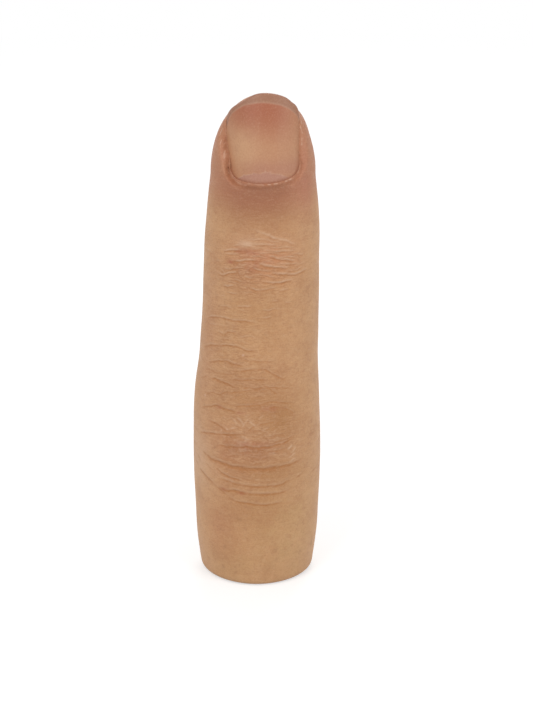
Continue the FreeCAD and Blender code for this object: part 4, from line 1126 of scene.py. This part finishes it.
coarse_angle = skin_angle[::2]
arc = np.linspace(np.pi / 2, 0, 26)[1:]
straight = np.linspace(LINER_STRAIGHT, LINER_WALL / 2, 60)[1:]
inside_radii = np.concatenate([LINER_INSIDE * np.cos(arc), np.full(straight.size, LINER_INSIDE)])
inside_heights = np.concatenate([LINER_STRAIGHT + LINER_INSIDE * np.sin(arc), straight])
for height in GROOVE_HEIGHTS:
    inside_radii += GROOVE_DEPTH * bell(inside_heights, height, GROOVE_WIDTH)
lip = np.linspace(np.pi, 2 * np.pi, 10)[1:-1]
lip_radii = LINER_INSIDE + LINER_WALL / 2 * (1 + np.cos(lip))
lip_heights = LINER_WALL / 2 * (1 + np.sin(lip))
outside_radius = LINER_INSIDE + LINER_WALL
outside_straight = np.linspace(LINER_WALL / 2, OUTSIDE_STRAIGHT, 12)
straight_radii = np.full(outside_straight.size, outside_radius)
outside_radii = np.concatenate([straight_radii, outside_radius * np.cos(arc[::-1])])
outside_arc = LINER_STRAIGHT + outside_radius * np.sin(arc[::-1])
liner_radii = np.concatenate([inside_radii, lip_radii, outside_radii])
liner_heights = np.concatenate([inside_heights, lip_heights, outside_straight, outside_arc])
liner_poles = [np.array([0, 0, LINER_STRAIGHT + radius]) for radius in (LINER_INSIDE, outside_radius)]
liner = ring_shell("liner", rows_about(liner_radii[:, None], liner_heights, coarse_angle), liner_poles)

paint = Paint("liner_silicone", specular=0.4)
place = paint.place()
clouds = paint.noise(place, 2.0, 3.0, 0.6)
dust = paint.noise(place, 0.2, 2.0, 0.5)
colour = paint.coats(
    (206, 176, 152),
    (paint.spread(clouds, 0.35, 0.7), (192, 156, 130)),
    (paint.spread(dust, 0.6, 0.8, 0, 0.4), (222, 200, 180)),
)
liner_material = paint.finished(colour, dust, depth_mm=0.012, worn=(clouds, 0.38, 0.5))
liner.data.materials.append(liner_material)
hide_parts("suction_liner")
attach(liner, "base")

# ------------------------------------------------------------------ cup
# A rigid resin cup cast over the end of the liner, with two sunk holes for the screws that hold
# the fork. Its surface is as it came from the mould, a little cloudy.
paint = Paint("cup_resin")
place = paint.place()
clouds = paint.noise(place, 2.4, 4.0, 0.6)
bubbles = paint.noise(place, 0.35, 2.0, 0.5)
colour = paint.coats(
    (206, 196, 172),
    (paint.spread(clouds, 0.35, 0.7), (188, 176, 148)),
    (paint.spread(bubbles, 0.62, 0.78, 0, 0.5), (228, 222, 204)),
)
repaint(paint.finished(colour, clouds, depth_mm=0.03, worn=(clouds, 0.28, 0.42)), "socket_cup")

# ------------------------------------------------------------------ links, fork and screws
# The skeleton: a fork, a middle bar and an end blade milled from stainless steel, hinged on
# shoulder screws with brass nuts and thin slippery washers, and screwed down to the cup.
LINKS = ("pip_fork", "middle_link", "distal_link")
SCREWS = ("anchor_screws", "pip_screw", "dip_screw")
NUTS = ("pip_nut", "dip_nut")
ALONG, ACROSS = (1, 1, 0.05), (0.1, 1, 1)
METALS = [
    ("steel", (196, 198, 200), (178, 180, 183), 0.30, ALONG, LINKS),
    ("screw_steel", (176, 178, 182), (152, 154, 160), 0.26, ACROSS, SCREWS),
    ("brass", (214, 184, 116), (196, 160, 92), 0.28, ACROSS, NUTS),
]

# Machined metal: tool marks as noise drawn out along one axis, with slight colour change.
for name, first, second, roughness, tool_path, nodes in METALS:
    paint = Paint(name, roughness=roughness, metallic=1.0)
    marks = paint.noise(paint.place(tool_path), 0.12, 3.0, 0.6)
    clouds = paint.noise(paint.place(), 1.5, 3.0, 0.6)
    colour = paint.coats(first, (paint.spread(clouds, 0.35, 0.7), second))
    worn = (marks, roughness - 0.07, roughness + 0.09)
    repaint(paint.finished(colour, marks, depth_mm=0.004, worn=worn), *nodes)

paint = Paint("washer_polymer", specular=0.4)
rings = paint.noise(paint.place((0.3, 1, 1)), 0.3, 2.0, 0.5)
colour = paint.coats((232, 230, 222), (paint.spread(rings, 0.4, 0.7), (216, 213, 202)))
washer_material = paint.finished(colour, rings, depth_mm=0.006, worn=(rings, 0.42, 0.55))
repaint(washer_material, "pip_washers", "dip_washers")

# ------------------------------------------------------------------ foam cores
# Soft foamed silicone that fills the finger between the skin and the links. Each core is poured
# round its link, so it has a channel of the link's shape, and its cut faces show open cells.
FOAM_GAP = 0.1
FOAM_LOW, FOAM_HIGH = 29.7, 48.4
TIP_FOAM_LOW, SHOULDER_TOP, SLIT_TOP = 57.6, 61.1, 71.7
CHANNEL_HALF = (2.64, 2.70)
SLIT_HALF = (3.30, 0.70)
BOX_POWER = 24
CELL_DEPTH, CUT_CELL_DEPTH = 0.14, 0.16
CUT_ROWS = 14


def foam_outside(heights):
    """Rows of the finger's form drawn in to the foam, with open cells pressed in by noise."""
    angles, levels = np.meshgrid(coarse_angle, heights)
    form = finger_form(angles, levels, WALL + FOAM_GAP)
    cells = np.clip(soft_noise(form, 0.5, 51) + 0.5 * soft_noise(form, 0.25, 52), 0, None)
    return form - surface_normals(form) * (CELL_DEPTH * cells)[..., None]


def box_rows(halves, heights):
    """Rows round a rectangle with small round corners: each angle's ray is cut by a flattened oval
    of high power, which is nearly a rectangle."""
    across, forward = np.sin(coarse_angle) / halves[0], np.cos(coarse_angle) / halves[1]
    reach = (np.abs(across) ** BOX_POWER + np.abs(forward) ** BOX_POWER) ** (-1 / BOX_POWER)
    return rows_about(reach, heights, coarse_angle)


def cut_face(start, end, seed, inwards):
    """Rows that cross a cut face from one ring to another, with cells pressed in along the height."""
    rows = start + (end - start) * np.linspace(0, 1, CUT_ROWS + 2)[1:-1, None, None]
    rows[..., 2] += inwards * CUT_CELL_DEPTH * np.clip(soft_noise(rows, 0.45, seed), 0, None)
    return rows


outer = foam_outside(np.linspace(FOAM_LOW, FOAM_HIGH, 76))
channel = box_rows(CHANNEL_HALF, np.linspace(FOAM_HIGH, FOAM_LOW, 14))
top_face, low_face = cut_face(outer[-1], channel[0], 53, -1), cut_face(channel[-1], outer[0], 54, 1)
foam_lower = ring_shell("foam_lower", np.concatenate([outer, top_face, channel, low_face]))

tip_foam_rise = TIP_RISE - WALL - FOAM_GAP
rounded = TIP_START + tip_foam_rise * np.sin(np.linspace(0, np.pi / 2, 40))[1:-1]
outer = foam_outside(np.concatenate([np.linspace(TIP_FOAM_LOW, TIP_START, 40), rounded]))
slit = box_rows(SLIT_HALF, np.linspace(SLIT_TOP, SHOULDER_TOP, 8))
channel = box_rows(CHANNEL_HALF, np.linspace(SHOULDER_TOP, TIP_FOAM_LOW, 5))
low_face = cut_face(channel[-1], outer[0], 55, 1)
foam_poles = [np.array([0, 0, SLIT_TOP]), np.array([LEAN[-1], -TIP_SETBACK, TIP_START + tip_foam_rise])]
foam_upper = ring_shell("foam_upper", np.concatenate([slit, channel, low_face, outer]), foam_poles)

paint = Paint("foam", specular=0.3)
place = paint.place()
open_cells = paint.spread(paint.cells(place, 3.2), 0.0, 0.25)
clouds = paint.noise(place, 1.8, 3.0, 0.6)
colour = paint.coats(
    (214, 180, 158),
    (paint.spread(clouds, 0.35, 0.7), (200, 162, 138)),
    # Painted shade: the pits of the open cells are painted darker.
    (paint.times(open_cells, 0.4), (170, 128, 104)),
)
cell_walls = paint.sum(1.0, open_cells, "SUBTRACT")
foam_material = paint.finished(colour, cell_walls, depth_mm=0.08, worn=(clouds, 0.8, 0.92))
for piece, node, body in (
    (foam_lower, "foam_middle", "middle"),
    (foam_upper, "foam_distal", "distal"),
):
    piece.data.materials.append(foam_material)
    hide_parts(node)
    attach(piece, body)
